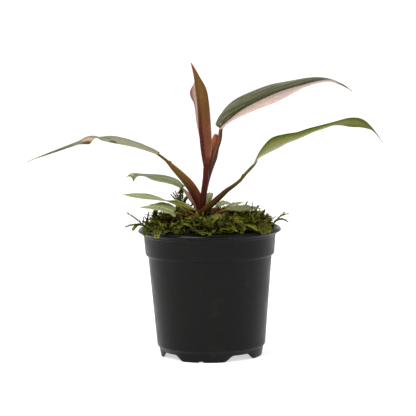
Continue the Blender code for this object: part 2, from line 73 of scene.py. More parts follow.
MOSS_RADIUS = 52.0
MOSS_REACH = 45.0  # where the living shoots end in front and behind, inside the lip
MOSS_SIDEWAYS = 4.5  # how much farther they reach at the left and the right
MOSS_OVERHANG = 2.4  # the most that one passes its reach by
MOSS_SILL = 46.5  # outside this radius they stay over the lip
MOSS_SILL_HEIGHT = 94.5  # the least height there, and how much more it is over the lip's top
MOSS_SILL_RISE = 2.6
MOSS_EDGE = 97.6  # the mound's height at its edge
MOSS_RISE = 9.0  # how much higher its middle is
MOSS_DROP = 2.5  # how far it dips inside the lip
MOSS_LUMPS = 1.1  # how high its lumps are
FOOT_DEPTH = 2.2  # how deep the foot of a shoot is in it

Stops = tuple[tuple[float, str], ...]
Socket = bpy.types.NodeSocket
Tree = bpy.types.NodeTree


class Half(Enum):
    """Which half of a blade, seen from its upper face with the tip ahead."""

    LEFT = -1
    RIGHT = 1


def place(points: np.ndarray) -> np.ndarray:
    """Millimetres from the pot's axis, to metres from the model's origin."""
    return (np.asarray(points, float) + (POT_AXIS_X, 0, 0)) * MM


def unit(vectors: np.ndarray) -> np.ndarray:
    """The vectors at length one."""
    return vectors / np.linalg.norm(vectors, axis=-1, keepdims=True)


def smooth(low: float, high: float, value: np.ndarray) -> np.ndarray:
    """An S-shaped step that is 0 below low and 1 above high."""
    share = np.clip((value - low) / (high - low), 0, 1)
    return share * share * (3 - 2 * share)


def triples(first: np.ndarray, second: np.ndarray, third: np.ndarray | float) -> np.ndarray:
    """Three grids of numbers, or a row and a column, as one grid of triples."""
    return np.stack(np.broadcast_arrays(first, second, third), axis=-1)


def turns(count: int) -> np.ndarray:
    """Angles round a ring in radians, as one row."""
    return np.linspace(0, 2 * np.pi, count, endpoint=False)[None, :]


def spline(values: Sequence, t: np.ndarray) -> np.ndarray:
    """A smooth curve through values that stand evenly from t = 0 to t = 1, by the Catmull-Rom rule.

    Args:
        values: numbers or points, from base to tip.
        t: where to read the curve.

    Returns:
        One number or point for each t.
    """
    points = np.asarray(values, float)
    if points.ndim == 1:
        return spline(points[:, None], t)[:, 0]
    ends = np.vstack([2 * points[0] - points[1], points, 2 * points[-1] - points[-2]])
    at = np.clip(t, 0, 1) * (len(points) - 1)
    first = np.minimum(at.astype(int), len(points) - 2)
    f = (at - first)[:, None]
    a, b, c, d = (ends[first + k] for k in range(4))
    return 0.5 * (2 * b + (c - a) * f + (2 * a - 5 * b + 4 * c - d) * f**2 + (3 * b - a - 3 * c + d) * f**3)


def length_of(points: Sequence) -> float:
    """The length of the smooth curve through points."""
    fine = spline(points, np.linspace(0, 1, 300))
    return float(np.linalg.norm(np.diff(fine, axis=0), axis=1).sum())


def even(points: Sequence, t: np.ndarray) -> np.ndarray:
    """Points at shares t of the length of the smooth curve through points."""
    fine = spline(points, np.linspace(0, 1, 300))
    length = np.concatenate([[0], np.cumsum(np.linalg.norm(np.diff(fine, axis=0), axis=1))])
    return np.stack([np.interp(t * length[-1], length, fine[:, k]) for k in range(3)], axis=-1)


def heading_at(points: Sequence, t: np.ndarray) -> np.ndarray:
    """The direction of the smooth curve through points, at shares t of its length."""
    step = 0.01
    return unit(even(points, np.minimum(t + step, 1)) - even(points, np.maximum(t - step, 0)))


@dataclass
class Shape:
    """A closed surface being worked out.

    Attributes:
        points: the points, in mm from the pot's axis.
        faces: arrays of faces, each with one row of point numbers a face.
        slots: the material slot of each array of faces.
        marks: named values at the points, three to a point, that the finishes read.
    """

    points: np.ndarray
    faces: list[np.ndarray]
    slots: list[int] = field(default_factory=list)
    marks: dict[str, np.ndarray] = field(default_factory=dict)

    def face_count(self) -> int:
        """How many faces the surface has."""
        return sum(len(group) for group in self.faces)


def join(shapes: Sequence[Shape]) -> Shape:
    """Several shapes as one, which keep their material slots and marks."""
    starts = np.cumsum([0] + [len(shape.points) for shape in shapes])
    faces, slots = [], []
    for shape, start in zip(shapes, starts):
        faces += [group + start for group in shape.faces]
        slots += shape.slots or [0] * len(shape.faces)
    marks = {name: np.concatenate([shape.marks[name] for shape in shapes]) for name in shapes[0].marks}
    return Shape(np.concatenate([shape.points for shape in shapes]), faces, slots, marks)


def tube_faces(rows: int, around: int) -> np.ndarray:
    """Quads of a tube of rings, whose points turn from the across direction to the upper one."""
    row, turn = np.meshgrid(np.arange(rows - 1), np.arange(around), indexing="ij")
    after = (turn + 1) % around
    near, far = row * around, (row + 1) * around
    return np.stack([near + turn, far + turn, far + after, near + after], axis=-1).reshape(-1, 4)


def cap_faces(around: int, first: int, is_end: bool) -> list[np.ndarray]:
    """A ring's cap: quads that join each point to the one across the ring, with a triangle at each side."""
    near = np.arange(1, around // 2 - 1)
    quads = first + np.stack([near, near + 1, around - near - 1, around - near], axis=-1)
    half = around // 2
    triangles = first + np.array([[0, 1, around - 1], [half - 1, half, half + 1]])
    return [quads[:, ::-1], triangles[:, ::-1]] if is_end else [quads, triangles]


def closed_faces(rows: int, around: int) -> list[np.ndarray]:
    """The faces of a tube of rings with both ends capped."""
    ends = cap_faces(around, 0, False) + cap_faces(around, (rows - 1) * around, True)
    return [tube_faces(rows, around), *ends]


def tube(rings: np.ndarray, marks: dict[str, np.ndarray]) -> Shape:
    """A closed tube through rings of points.

    Args:
        rings: points by ring and place round the ring, which has an even number of them.
        marks: values by name, laid out as the rings are.

    Returns:
        The tube, with both ends capped.
    """
    faces = closed_faces(*rings.shape[:2])
    flat = {name: values.reshape(-1, 3) for name, values in marks.items()}
    return Shape(rings.reshape(-1, 3), faces, [0] * len(faces), flat)


def build_mesh(name: str, shape: Shape, is_smooth: bool) -> bpy.types.Mesh:
    """Puts a shape's arrays into a mesh, in metres.

    Args:
        name: the mesh's name.
        shape: the surface.
        is_smooth: whether it is shaded smooth.

    Returns:
        The mesh, with the shape's marks as point attributes.
    """
    mesh = bpy.data.meshes.new(name)
    corners = np.concatenate([group.ravel() for group in shape.faces]).astype(np.int32)
    sizes = np.concatenate([np.full(len(group), group.shape[1]) for group in shape.faces])
    starts = np.concatenate([[0], np.cumsum(sizes)[:-1]]).astype(np.int32)
    slots = shape.slots or [0] * len(shape.faces)
    worn = np.concatenate([np.full(len(group), slot) for group, slot in zip(shape.faces, slots)])
    mesh.vertices.add(len(shape.points))
    mesh.loops.add(len(corners))
    mesh.polygons.add(len(sizes))
    mesh.vertices.foreach_set("co", place(shape.points).astype(np.float32).ravel())
    mesh.polygons.foreach_set("loop_start", starts)
    mesh.polygons.foreach_set("vertices", corners)
    mesh.polygons.foreach_set("material_index", worn.astype(np.int32))
    mesh.update(calc_edges=True)
    for mark, values in shape.marks.items():
        layer = mesh.attributes.new(mark, "FLOAT_VECTOR", "POINT")
        layer.data.foreach_set("vector", values.astype(np.float32).ravel())
    if is_smooth:
        mesh.shade_smooth()
    else:
        mesh.shade_flat()
    return mesh


def add_piece(name: str, shape: Shape, materials: Sequence[bpy.types.Material],
              stands_for: Sequence[str] = (), is_smooth: bool = True) -> bpy.types.Object:
    """Adds a finished piece to the scene and to the frame.

    Args:
        name: the piece's name.
        shape: its surface.
        materials: one material for each of the shape's slots.
        stands_for: the model's nodes that the piece is shown in place of.
        is_smooth: whether it is shaded smooth.

    Returns:
        The piece's object.
    """
    obj = bpy.data.objects.new(name, build_mesh(name, shape, is_smooth))
    bpy.context.scene.collection.objects.link(obj)
    for material in materials:
        obj.data.materials.append(material)
    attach(obj, "root")
    if stands_for:
        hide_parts(*stands_for)
    log.info("%s: %d faces", name, shape.face_count())
    return obj


def linear(hex_color: str) -> tuple[float, float, float, float]:
    """An sRGB hex value as linear RGBA."""
    channels = np.array([int(hex_color[start:start + 2], 16) for start in (1, 3, 5)]) / 255
    values = np.where(channels <= 0.04045, channels / 12.92, ((channels + 0.055) / 1.055) ** 2.4)
    return (*values.tolist(), 1.0)


def set_stops(ramp: bpy.types.ColorRamp, stops: Stops) -> None:
    """Gives a colour ramp its places and colours."""
    while len(ramp.elements) < len(stops):
        ramp.elements.new(1.0)
    for element, (position, color) in zip(ramp.elements, stops):
        element.position = position
        element.color = linear(color)


def feed(tree: Tree, node: bpy.types.Node, inputs: dict[str | int, Any]) -> None:
    """Gives each named or numbered input of a node a value or another node's output."""
    for name, value in inputs.items():
        if isinstance(value, Socket):
            tree.links.new(value, node.inputs[name])
        else:
            node.inputs[name].default_value = value


def add_node(tree: Tree, kind: str, inputs: dict[str | int, Any] | None = None, output: str | int = 0,
             **settings: Any) -> Socket:
    """Adds a node with its settings and links.

    Args:
        tree: the node tree.
        kind: the node's type, without the word ShaderNode before it.
        inputs: a value or another node's output for each input, by name or number.
        output: the output that is wanted, by name or number.
        settings: the node's properties, and the stops of a colour ramp.

    Returns:
        The wanted output.
    """
    node = tree.nodes.new(f"ShaderNode{kind}")
    if "stops" in settings:
        set_stops(node.color_ramp, settings.pop("stops"))
    for name, value in settings.items():
        setattr(node, name, value)
    feed(tree, node, inputs or {})
    return node.outputs[output]


SOFT = {"interpolation_type": "SMOOTHSTEP"}  # a Map Range node that eases in and out
COLORS = {"data_type": "RGBA"}  # a Mix node for colours, whose sockets have these numbers
FACTOR, FIRST, SECOND, MIXED = 0, 6, 7, 2
NOISE_SPAN = {"From Min": 0.3, "From Max": 0.7}  # where nearly all of a noise texture's values lie


def new_material(name: str) -> tuple[bpy.types.Material, Tree, bpy.types.Node]:
    """A new material, its node tree and its shader."""
    made = bpy.data.materials.new(name)
    made.use_nodes = True
    return made, made.node_tree, made.node_tree.nodes["Principled BSDF"]


@dataclass(frozen=True)
class Spot:
    """A soft oval patch of colour, by place across and along a blade, from 0 to 1 each."""

    across: float
    along: float
    half_across: float
    half_along: float
    color: str


@dataclass(frozen=True)
class PlantSkin:
    """Living leaf or petiole skin: a waxy cuticle over coloured tissue, with veins and fine fibres.

    The cuticle gives a soft satin gloss with a refractive index near 1.45, and light goes a little way into
    the tissue under it. Colours run across the blade by the stops and change from at_base to at_tip along it.

    Attributes:
        name: the finish's name.
        at_base: stops across at the base, from the left margin at 0 to the right one at 1. On a petiole they
            run from its outer side at 0 to its grooved side at 1.
        at_tip: the same at the tip.
        turn: where along the blade the base colours start and finish changing.
        roughness: the cuticle's roughness.
        gloss: how much of the cuticle's shine is left under its dust and bloom.
        vein_color: the colour over the side veins.
        vein_strength: how strongly they show, from 0 to 1.
        streak_color: the colour of the long streaks: variegation on some skins, and painted sheen or a
            painted highlight stripe on others.
        streak_where: how strongly they show by place across, as stops of grey.
        streak_mm: the width and length of a streak, in mm.
        fibre: how much fine fibres along the side veins change the lightness.
        spots: soft patches laid over the rest.
        vein_share: half a side vein's width, as a share of the gap between veins.
        mottle: how much a faint mottling changes the lightness.
        mottle_scale: the mottling's scale, whose patches are then about 4 mm across.
    """

    name: str
    at_base: Stops
    at_tip: Stops
    turn: tuple[float, float] = (0.1, 0.9)
    roughness: float = 0.42
    gloss: float = 0.13
    vein_color: str = "#a3a880"
    vein_strength: float = 0.0
    streak_color: str = "#8f8a78"
    streak_where: Stops = ()
    streak_mm: tuple[float, float] = (1.6, 26.0)
    fibre: float = 0.1
    spots: tuple[Spot, ...] = ()
    vein_share: float = 0.16
    mottle: float = 0.07
    mottle_scale: float = 260.0

    def material(self) -> bpy.types.Material:
        """The finish as a material, made once and then shared."""
        if self.name in bpy.data.materials:
            return bpy.data.materials[self.name]
        made, tree, shader = new_material(self.name)
        tissue = add_node(tree, "Attribute", output="Vector", attribute_name="tissue")
        reach = add_node(tree, "Attribute", output="Vector", attribute_name="reach")
        across, along, phase = add_node(tree, "SeparateXYZ", {0: tissue}).node.outputs
        away = add_node(tree, "Math", {0: phase, 1: 0.5}, operation="PINGPONG")
        vein = add_node(tree, "MapRange", {"Value": away, "From Max": self.vein_share, "To Min": 1.0,
                                           "To Max": 0.0}, **SOFT)
        shown = add_node(tree, "Math", {0: vein, 1: self.vein_strength}, operation="MULTIPLY")
        color = self.streaked(tree, reach, across, self.ripened(tree, across, along))
        color = self.dappled(tree, tissue, color)
        color = add_node(tree, "Mix", {FACTOR: shown, FIRST: color, SECOND: linear(self.vein_color)}, MIXED,
                         **COLORS)
        fibres = self.fibres(tree, reach, phase)
        here = add_node(tree, "TexCoord", output="Object")
        mottle = add_node(tree, "TexNoise", {"Vector": here, "Scale": self.mottle_scale, "Detail": 3.0})
        fibrous = add_node(tree, "MapRange", {"Value": fibres, **NOISE_SPAN, "To Min": 1 - self.fibre,
                                              "To Max": 1 + self.fibre}, **SOFT)
        mottled = add_node(tree, "MapRange", {"Value": mottle, **NOISE_SPAN, "To Min": 1 - self.mottle,
                                              "To Max": 1 + self.mottle}, **SOFT)
        worn = add_node(tree, "MapRange", {"Value": mottle, **NOISE_SPAN, "To Min": self.roughness - 0.05,
                                           "To Max": self.roughness + 0.07}, **SOFT)
        light = add_node(tree, "Math", {0: fibrous, 1: mottled}, operation="MULTIPLY")
        tinted = add_node(tree, "HueSaturation", {"Value": light, "Color": color})
        ridge = add_node(tree, "Math", {0: vein, 1: 0.5}, operation="MULTIPLY")
        relief = add_node(tree, "Math", {0: ridge, 1: fibres}, operation="ADD")
        feed(tree, shader, {
            "Base Color": tinted,
            "Normal": add_node(tree, "Bump", {"Height": relief, "Strength": 0.3, "Distance": 0.2 * MM}),
            "Roughness": worn,
            "IOR": 1.45,
            "Specular IOR Level": self.gloss,
            "Subsurface Weight": 0.12,
            "Subsurface Scale": 0.8 * MM,
            "Subsurface Radius": (1.0, 0.9, 0.4),
        })
        return made

    def ripened(self, tree: Tree, across: Socket, along: Socket) -> Socket:
        """The colour across the blade, which changes along it."""
        start, end = self.turn
        ripe = add_node(tree, "MapRange", {"Value": along, "From Min": start, "From Max": end}, **SOFT)
        base = add_node(tree, "ValToRGB", {0: across}, stops=self.at_base)
        tip = add_node(tree, "ValToRGB", {0: across}, stops=self.at_tip)
        return add_node(tree, "Mix", {FACTOR: ripe, FIRST: base, SECOND: tip}, MIXED, **COLORS)

    def streaked(self, tree: Tree, reach: Socket, across: Socket, color: Socket) -> Socket:
        """The colour with the long streaks over it: variegation, and on some skins painted sheen or a painted
        highlight.
        """
        if not self.streak_where:
            return color
        width, length = self.streak_mm
        drawn = add_node(tree, "Mapping", {"Vector": reach, "Scale": (1 / width, 1 / length, 0.0)})
        noise = add_node(tree, "TexNoise", {"Vector": drawn, "Scale": 1.0, "Detail": 4.0, "Roughness": 0.65})
        streak = add_node(tree, "MapRange", {"Value": noise, "From Min": 0.44, "From Max": 0.6}, **SOFT)
        where = add_node(tree, "ValToRGB", {0: across}, stops=self.streak_where)
        shown = add_node(tree, "Math", {0: streak, 1: where}, operation="MULTIPLY")
        return add_node(tree, "Mix", {FACTOR: shown, FIRST: color, SECOND: linear(self.streak_color)}, MIXED,
                        **COLORS)

    def dappled(self, tree: Tree, tissue: Socket, color: Socket) -> Socket:
        """The colour with the soft spots over it, each whole inside half its size and gone at its edge."""
        for spot in self.spots:
            moved = add_node(tree, "Mapping", {"Vector": tissue, "Location": (spot.across, spot.along, 0.0),
                                               "Scale": (spot.half_across, spot.half_along, 1000.0)},
                             vector_type="TEXTURE")
            away = add_node(tree, "VectorMath", {0: moved}, "Value", operation="LENGTH")
            shown = add_node(tree, "MapRange", {"Value": away, "From Min": 0.5, "To Min": 1.0, "To Max": 0.0},
                             **SOFT)
            color = add_node(tree, "Mix", {FACTOR: shown, FIRST: color, SECOND: linear(spot.color)}, MIXED,
                             **COLORS)
        return color

    def fibres(self, tree: Tree, reach: Socket, phase: Socket) -> Socket:
        """Noise drawn out along the side veins: long across the blade, and about six to a vein gap."""
        distance = add_node(tree, "SeparateXYZ", {0: reach})
        out = add_node(tree, "Math", {0: distance, 1: 0.12}, operation="MULTIPLY")
        beside = add_node(tree, "Math", {0: phase, 1: 6.0}, operation="MULTIPLY")
        vector = add_node(tree, "CombineXYZ", {0: out, 1: beside})
        return add_node(tree, "TexNoise", {"Vector": vector, "Scale": 1.0, "Detail": 2.0})


NEW_UNDER = PlantSkin(
    "young leaf underside, brown cuticle",
    at_base=((0.0, "#a98c70"), (0.08, "#7f4e37"), (0.2, "#7a4732"), (0.45, "#744530"), (0.485, "#46150d"),
             (0.515, "#46150d"), (0.56, "#7f4f38"), (0.8, "#ac8a6e"), (1.0, "#926f57")),
    at_tip=((0.0, "#592e17"), (0.1, "#6a4821"), (0.3, "#715023"), (0.47, "#6f4d1f"), (0.5, "#5c3814"),
            (0.54, "#7c5c34"), (0.66, "#a6968a"), (0.74, "#98786a"), (0.85, "#7a4230"), (1.0, "#5a2418")),
    turn=(0.25, 0.75), roughness=0.38, vein_color="#94684a", vein_strength=0.12,
    spots=(Spot(0.5, 1.02, 0.8, 0.17, "#8a4418"), Spot(0.5, -0.02, 1.5, 0.12, "#5a2216")),
)
NEW_UPPER = PlantSkin(
    "young leaf upper side, bronze cuticle",
    at_base=((0.0, "#7a4a34"), (0.5, "#6a4a2c"), (1.0, "#7c5a3c")),
    at_tip=((0.0, "#84603c"), (0.5, "#7a6a36"), (1.0, "#8a6a44")),
    roughness=0.34, vein_color="#a08058", vein_strength=0.2,
)
# The grey tones at the green half's margin, the pale streaks over the green half and the pale flecks near the
# base are painted sheen and painted highlights; the streaks on the pink half are variegation.
PINK_UPPER = PlantSkin(
    "philodendron leaf, half green and half pink",
    at_base=((0.0, "#4a4634"), (0.03, "#56553f"), (0.14, "#4a4b32"), (0.3, "#393c1c"), (0.48, "#262b0a"),
             (0.5, "#6e4432"), (0.515, "#a8988a"), (0.7, "#c8aea6"), (1.0, "#dcb8b2")),
    at_tip=((0.0, "#424624"), (0.2, "#3a3e1a"), (0.48, "#2a2e0e"), (0.5, "#564a36"), (0.53, "#8e8676"),
            (0.8, "#b0a096"), (0.92, "#d2aea6"), (1.0, "#d6aca4")),
    turn=(0.4, 0.9), roughness=0.36, gloss=0.06, vein_color="#8a8970", vein_strength=0.45,
    streak_color="#85836c",
    streak_where=((0.0, "#f0f0f0"), (0.3, "#a0a0a0"), (0.42, "#202020"), (0.5, "#000000"), (0.52, "#ffffff"),
                  (0.72, "#c0c0c0"), (0.84, "#000000")),
    streak_mm=(2.2, 36.0), fibre=0.45,
    spots=(Spot(0.5, 1.0, 1.0, 0.16, "#3c3a1c"), Spot(0.05, 0.84, 0.4, 0.05, "#2c3410"),
           Spot(0.9, 0.03, 0.06, 0.03, "#dcdccb"), Spot(0.33, 0.025, 0.022, 0.012, "#a4a490"),
           Spot(0.425, 0.08, 0.009, 0.045, "#8c8d78"), Spot(0.37, 0.19, 0.01, 0.06, "#7c7d66")),
)
PINK_UNDER = PlantSkin(
    "philodendron leaf underside, half red green and half pink",
    at_base=((0.0, "#6a5a3c"), (0.46, "#6a4a34"), (0.5, "#7a2e24"), (0.54, "#d49a8c"), (1.0, "#e8b0a6")),
    at_tip=((0.0, "#64603c"), (0.46, "#5c5434"), (0.5, "#8a5040"), (0.54, "#c8a494"), (1.0, "#dca89c")),
    roughness=0.5, vein_color="#8c7058", vein_strength=0.2,
)
# The pale right margin and the pale streaks over the right half are painted sheen, in place of the cuticle's
# own shine, which is off (gloss 0).
RIGHT_UPPER = PlantSkin(
    "olive philodendron leaf with painted sheen at its margin",
    at_base=((0.0, "#37440f"), (0.14, "#44531a"), (0.3, "#626b2b"), (0.47, "#6c7033"), (0.5, "#888858"),
             (0.53, "#74763c"), (0.75, "#7e8052"), (0.9, "#959776"), (1.0, "#a6a888")),
    at_tip=((0.0, "#49521b"), (0.3, "#5a602e"), (0.48, "#666834"), (0.5, "#86885e"), (0.52, "#666834"),
            (0.8, "#5f6430"), (1.0, "#4e561d")),
    turn=(0.45, 0.8), roughness=0.42, gloss=0.0, vein_color="#848654", vein_strength=0.14,
    streak_color="#979775", streak_mm=(2.4, 24.0),
    streak_where=((0.5, "#000000"), (0.62, "#72726b"), (0.95, "#72726b"), (1.0, "#000000")),
)
OLIVE_UNDER = PlantSkin(
    "olive philodendron leaf underside",
    at_base=((0.0, "#9a9a78"), (0.08, "#7b7c36"), (0.47, "#74742f"), (0.5, "#8f6a3c"), (0.53, "#74742f"),
             (0.92, "#7b7c36"), (1.0, "#9a9a78")),
    at_tip=((0.0, "#8e8f5c"), (0.5, "#7c7c3a"), (1.0, "#8e8f5c")),
    roughness=0.5, vein_color="#9b9c5c", vein_strength=0.25,
)
LEFT_UPPER = PlantSkin(
    "grey green philodendron leaf",
    at_base=((0.0, "#686b3f"), (0.05, "#8b8964"), (0.3, "#8d8c69"), (0.47, "#898766"), (0.5, "#7d7963"),
             (0.53, "#848263"), (0.86, "#767859"), (0.94, "#515438"), (1.0, "#42432b")),
    at_tip=((0.0, "#565a34"), (0.3, "#717252"), (0.5, "#66644e"), (0.7, "#757659"), (1.0, "#515436")),
    turn=(0.3, 0.7), roughness=0.4, vein_color="#b4b494", vein_strength=0.16,
    streak_color="#b3b093", streak_where=((0.0, "#707070"), (0.45, "#8c8c8c"), (0.5, "#000000")),
    streak_mm=(2.0, 22.0),
    spots=(Spot(0.5, 0.86, 1.4, 0.3, "#5c5a36"), Spot(0.3, 0.52, 0.3, 0.055, "#cf9f88"),
           Spot(0.0, 0.525, 0.36, 0.06, "#38400f"), Spot(0.36, 0.385, 0.14, 0.06, "#6c6e56"),
           Spot(0.0, 0.32, 0.3, 0.04, "#3c4418"), Spot(0.0, 0.05, 0.12, 0.06, "#b87a60")),
)
SMALL_UPPER = PlantSkin(
    "small philodendron leaf",
    at_base=((0.0, "#a3a683"), (0.1, "#8a9062"), (0.44, "#7c8450"), (0.5, "#c2c8a4"), (0.56, "#7c8450"),
             (0.9, "#8a9062"), (1.0, "#a8aa88")),
    at_tip=((0.0, "#9a9f78"), (0.3, "#868e5c"), (0.5, "#a2a880"), (0.7, "#868e5c"), (1.0, "#9a9f78")),
    roughness=0.42, vein_color="#b4bc92", vein_strength=0.35,
)
FOLDED_UPPER = replace(
    SMALL_UPPER, name="small philodendron leaf with a folded tip",
    spots=(Spot(0.05, 0.85, 0.3, 0.06, "#56622e"), Spot(0.47, 0.87, 0.12, 0.03, "#cfa090")),
)
# The underside is coloured much brighter than its own green: painted light that stands for the light shining
# through the thin young leaf.
YOUNG_UNDER = PlantSkin(
    "small philodendron leaf underside",
    at_base=((0.0, "#c8c8ac"), (0.06, "#c0c09c"), (0.12, "#c8ca5c"), (0.47, "#bec054"), (0.5, "#cccf7c"),
             (0.53, "#bec054"), (0.92, "#c8ca5c"), (1.0, "#d8d8ac")),
    at_tip=((0.0, "#8e8f5c"), (0.5, "#7c7c3a"), (1.0, "#8e8f5c")),
    turn=(0.5, 1.0), roughness=0.5, vein_color="#a8aa58", vein_strength=0.25,
)
GREEN_UPPER = PlantSkin(
    "small green philodendron leaf",
    at_base=((0.0, "#5a6030"), (0.1, "#46521a"), (0.5, "#6a7434"), (0.9, "#46521a"), (1.0, "#5a6030")),
    at_tip=((0.0, "#5a6030"), (0.5, "#525c22"), (1.0, "#5a6030")),
    roughness=0.42, vein_color="#727c3c", vein_strength=0.3,
)
GREY_UPPER = PlantSkin(
    "small grey philodendron leaf",
    at_base=((0.0, "#676a2b"), (0.1, "#646337"), (0.48, "#69683b"), (0.5, "#7d7c46"), (0.52, "#69683b"),
             (0.9, "#646337"), (1.0, "#676a2b")),
    at_tip=((0.0, "#5e6227"), (0.5, "#676734"), (1.0, "#5e6227")),
    roughness=0.42, vein_color="#7f7e4b", vein_strength=0.2,
)
SHEATH_SKIN = PlantSkin(
    "thin orange red leaf sheath",
    at_base=((0.0, "#bd9b77"), (0.2, "#a85a3e"), (0.6, "#6e2f23"), (1.0, "#54241d")),
    at_tip=((0.0, "#d08658"), (0.3, "#c07044"), (0.7, "#8a432c"), (1.0, "#6a2f21")),
    turn=(0.5, 0.95), roughness=0.42, vein_color="#c98a62", vein_strength=0.2,
    streak_color="#d08a5c", streak_where=((0.0, "#909090"), (0.5, "#404040"), (1.0, "#202020")),
    streak_mm=(0.8, 6.0),
)
RED_STALK = PlantSkin(
    "red brown petiole skin",
    at_base=((0.0, "#360f06"), (0.5, "#481609"), (0.8, "#551d0d"), (1.0, "#602512")),
    at_tip=((0.0, "#421408"), (0.5, "#521f0e"), (1.0, "#6e3a1e")),
    roughness=0.36, streak_color="#803618", streak_where=((0.0, "#403623"), (1.0, "#605235")),
    streak_mm=(0.7, 16.0), fibre=0.12,
)
# The lighter stops toward the grooved side and the grey streaks there are a painted highlight that runs along
# the petiole.
PINK_STALK = PlantSkin(
    "dark red petiole skin with a painted grey highlight",
    at_base=((0.0, "#2a0e08"), (0.5, "#33140a"), (0.8, "#4a281a"), (1.0, "#6a4a36")),
    at_tip=((0.0, "#38160b"), (0.5, "#4a2416"), (0.8, "#86563f"), (1.0, "#9a6c52")),
    turn=(0.95, 1.0), roughness=0.34,
    streak_color="#86674c", streak_where=((0.6, "#000000"), (1.0, "#70655a")), streak_mm=(0.7, 20.0),
)
OLIVE_STALK = PlantSkin(
    "olive petiole skin",
    at_base=((0.0, "#302907"), (0.3, "#40330a"), (0.7, "#482b0b"), (1.0, "#522e0c")),
    at_tip=((0.0, "#45410b"), (0.4, "#554910"), (1.0, "#5f5213")),
    turn=(0.45, 0.8), roughness=0.38,
    streak_color="#5f3a0e", streak_where=((0.0, "#242112"), (1.0, "#625a2f")), streak_mm=(0.8, 18.0),
)
LEFT_STALK = PlantSkin(
    "red to olive petiole skin",
    at_base=((0.0, "#361609"), (0.4, "#451d0c"), (0.8, "#602b14"), (0.94, "#a34922"), (1.0, "#ad5024")),
    at_tip=((0.0, "#513d12"), (0.4, "#614516"), (0.76, "#604c16"), (0.88, "#8a4c22"), (1.0, "#a04e28")),
    turn=(0.28, 0.62), roughness=0.38,
    streak_color="#6e5719", streak_where=((0.0, "#49422d"), (1.0, "#3a3525")), streak_mm=(0.9, 14.0),
)
SMALL_STALK = PlantSkin(
    "thin red brown petiole skin",
    at_base=((0.0, "#5e301a"), (0.5, "#753d21"), (1.0, "#8f4f2d")),
    at_tip=((0.0, "#695727"), (0.5, "#756430"), (1.0, "#83733c")),
    turn=(0.5, 0.95), roughness=0.4, fibre=0.12,
)
PALE_STALK = PlantSkin(
    "pink brown petiole skin",
    at_base=((0.0, "#7a5446"), (0.5, "#98705c"), (1.0, "#b08872")),
    at_tip=((0.0, "#6e6a30"), (0.5, "#8a8044"), (1.0, "#948c54")),
    turn=(0.55, 0.95), roughness=0.42, fibre=0.12,
)
CROWN_SKIN = PlantSkin(
    "old stem skin with leaf scars",
    at_base=((0.0, "#3a2014"), (0.5, "#4a281a"), (1.0, "#3a2014")),
    at_tip=((0.0, "#451a10"), (0.5, "#54241a"), (1.0, "#451a10")),
    roughness=0.5, vein_color="#2a150d", vein_strength=0.5, fibre=0.2,
)


@dataclass(frozen=True)
class Side:
    """Half of a blade.

    Attributes:
        fold: how steeply it leaves the midrib, in degrees from base to tip.
        curl: how much it bends on from there to its margin, in degrees.
        ears: stretches where it is wider, as (start, widest place, end, extra mm), by share of the length.
        wave: how far its margin waves up and down, in mm.
    """

    fold: tuple[float, ...]
    curl: tuple[float, ...] = (0.0, 0.0)
    ears: tuple[tuple[float, float, float, float], ...] = ()
    wave: float = 0.25


@dataclass(frozen=True)
class Leaf:
    """A blade with its petiole. Lengths are in mm, and lists run evenly from base to tip.

    Attributes:
        name: the model's name for the leaf.
        midrib: points along the midrib.
        face: where the upper face looks, along the midrib.
        half_width: half the width at the widest place.
        petiole: points along the petiole, up to the blade.
        radii: the petiole's radii.
        left, right: the two halves.
        peak: share of the length where the blade is widest.
        base: share of the full width at the very base.
        taper: over 1 for a drawn-out tip.
        lobe: how far the base lobes reach back.
        upper, under, stalk: the finishes.
        slot, stalk_slot: the record's material slots of the blade and the petiole; not used.
        grooved: where the petiole's grooved side looks.
        wing: how far the sheath's edges stand out, as a share of the radius.
        wing_end: share of the petiole's length where the sheath ends.
        vein_gap: the distance between side veins along the midrib.
        vein_sweep: how far a side vein runs toward the tip for each mm that it runs out, beside the midrib.
    """

    name: str
    midrib: tuple
    face: tuple
    half_width: float
    petiole: tuple = ()
    radii: tuple = ()
    left: Side = Side((6, 6))
    right: Side = Side((6, 6))
    peak: float = 0.35
    base: float = 0.5
    taper: float = 1.0
    lobe: float = 2.0
    upper: PlantSkin = SMALL_UPPER
    under: PlantSkin = OLIVE_UNDER
    stalk: PlantSkin = SMALL_STALK
    slot: str = "grey_green_leaf"
    stalk_slot: str = "olive_petiole"
    grooved: tuple = (0, 0, 1)
    wing: float = 0.1
    wing_end: float = 0.35
    vein_gap: float = 3.4
    vein_sweep: float = 1.0

    def side(self, half: Half) -> Side:
        """The left or right half."""
        return self.right if half is Half.RIGHT else self.left

    def frame_along(self, t: np.ndarray) -> tuple[np.ndarray, np.ndarray, np.ndarray, np.ndarray]:
        """The midrib's point, its direction, the upper face's direction and the right-hand direction at t."""
        middle = even(self.midrib, t)
        along = heading_at(self.midrib, t)
        face = spline(self.face, t)
        up = unit(face - (face * along).sum(axis=1, keepdims=True) * along)
        return middle, along, up, np.cross(along, up)

    def width(self, t: np.ndarray, half: Half) -> np.ndarray:
        """The half's width: a quarter sine from the base to the widest place, then a taper, plus the ears."""
        rise = self.base + (1 - self.base) * np.sin(np.pi / 2 * np.clip(t / self.peak, 0, 1))
        fall = (1 - np.clip((t - self.peak) / (1 - self.peak), 0, 1) ** 1.6) ** self.taper
        wide = np.maximum(self.half_width * np.where(t < self.peak, rise, fall), 0.4)
        for start, widest, end, extra in self.side(half).ears:
            wide = wide + extra * smooth(start, widest, t) * (1 - smooth(widest, end, t))
        return np.maximum(wide, 0.4)


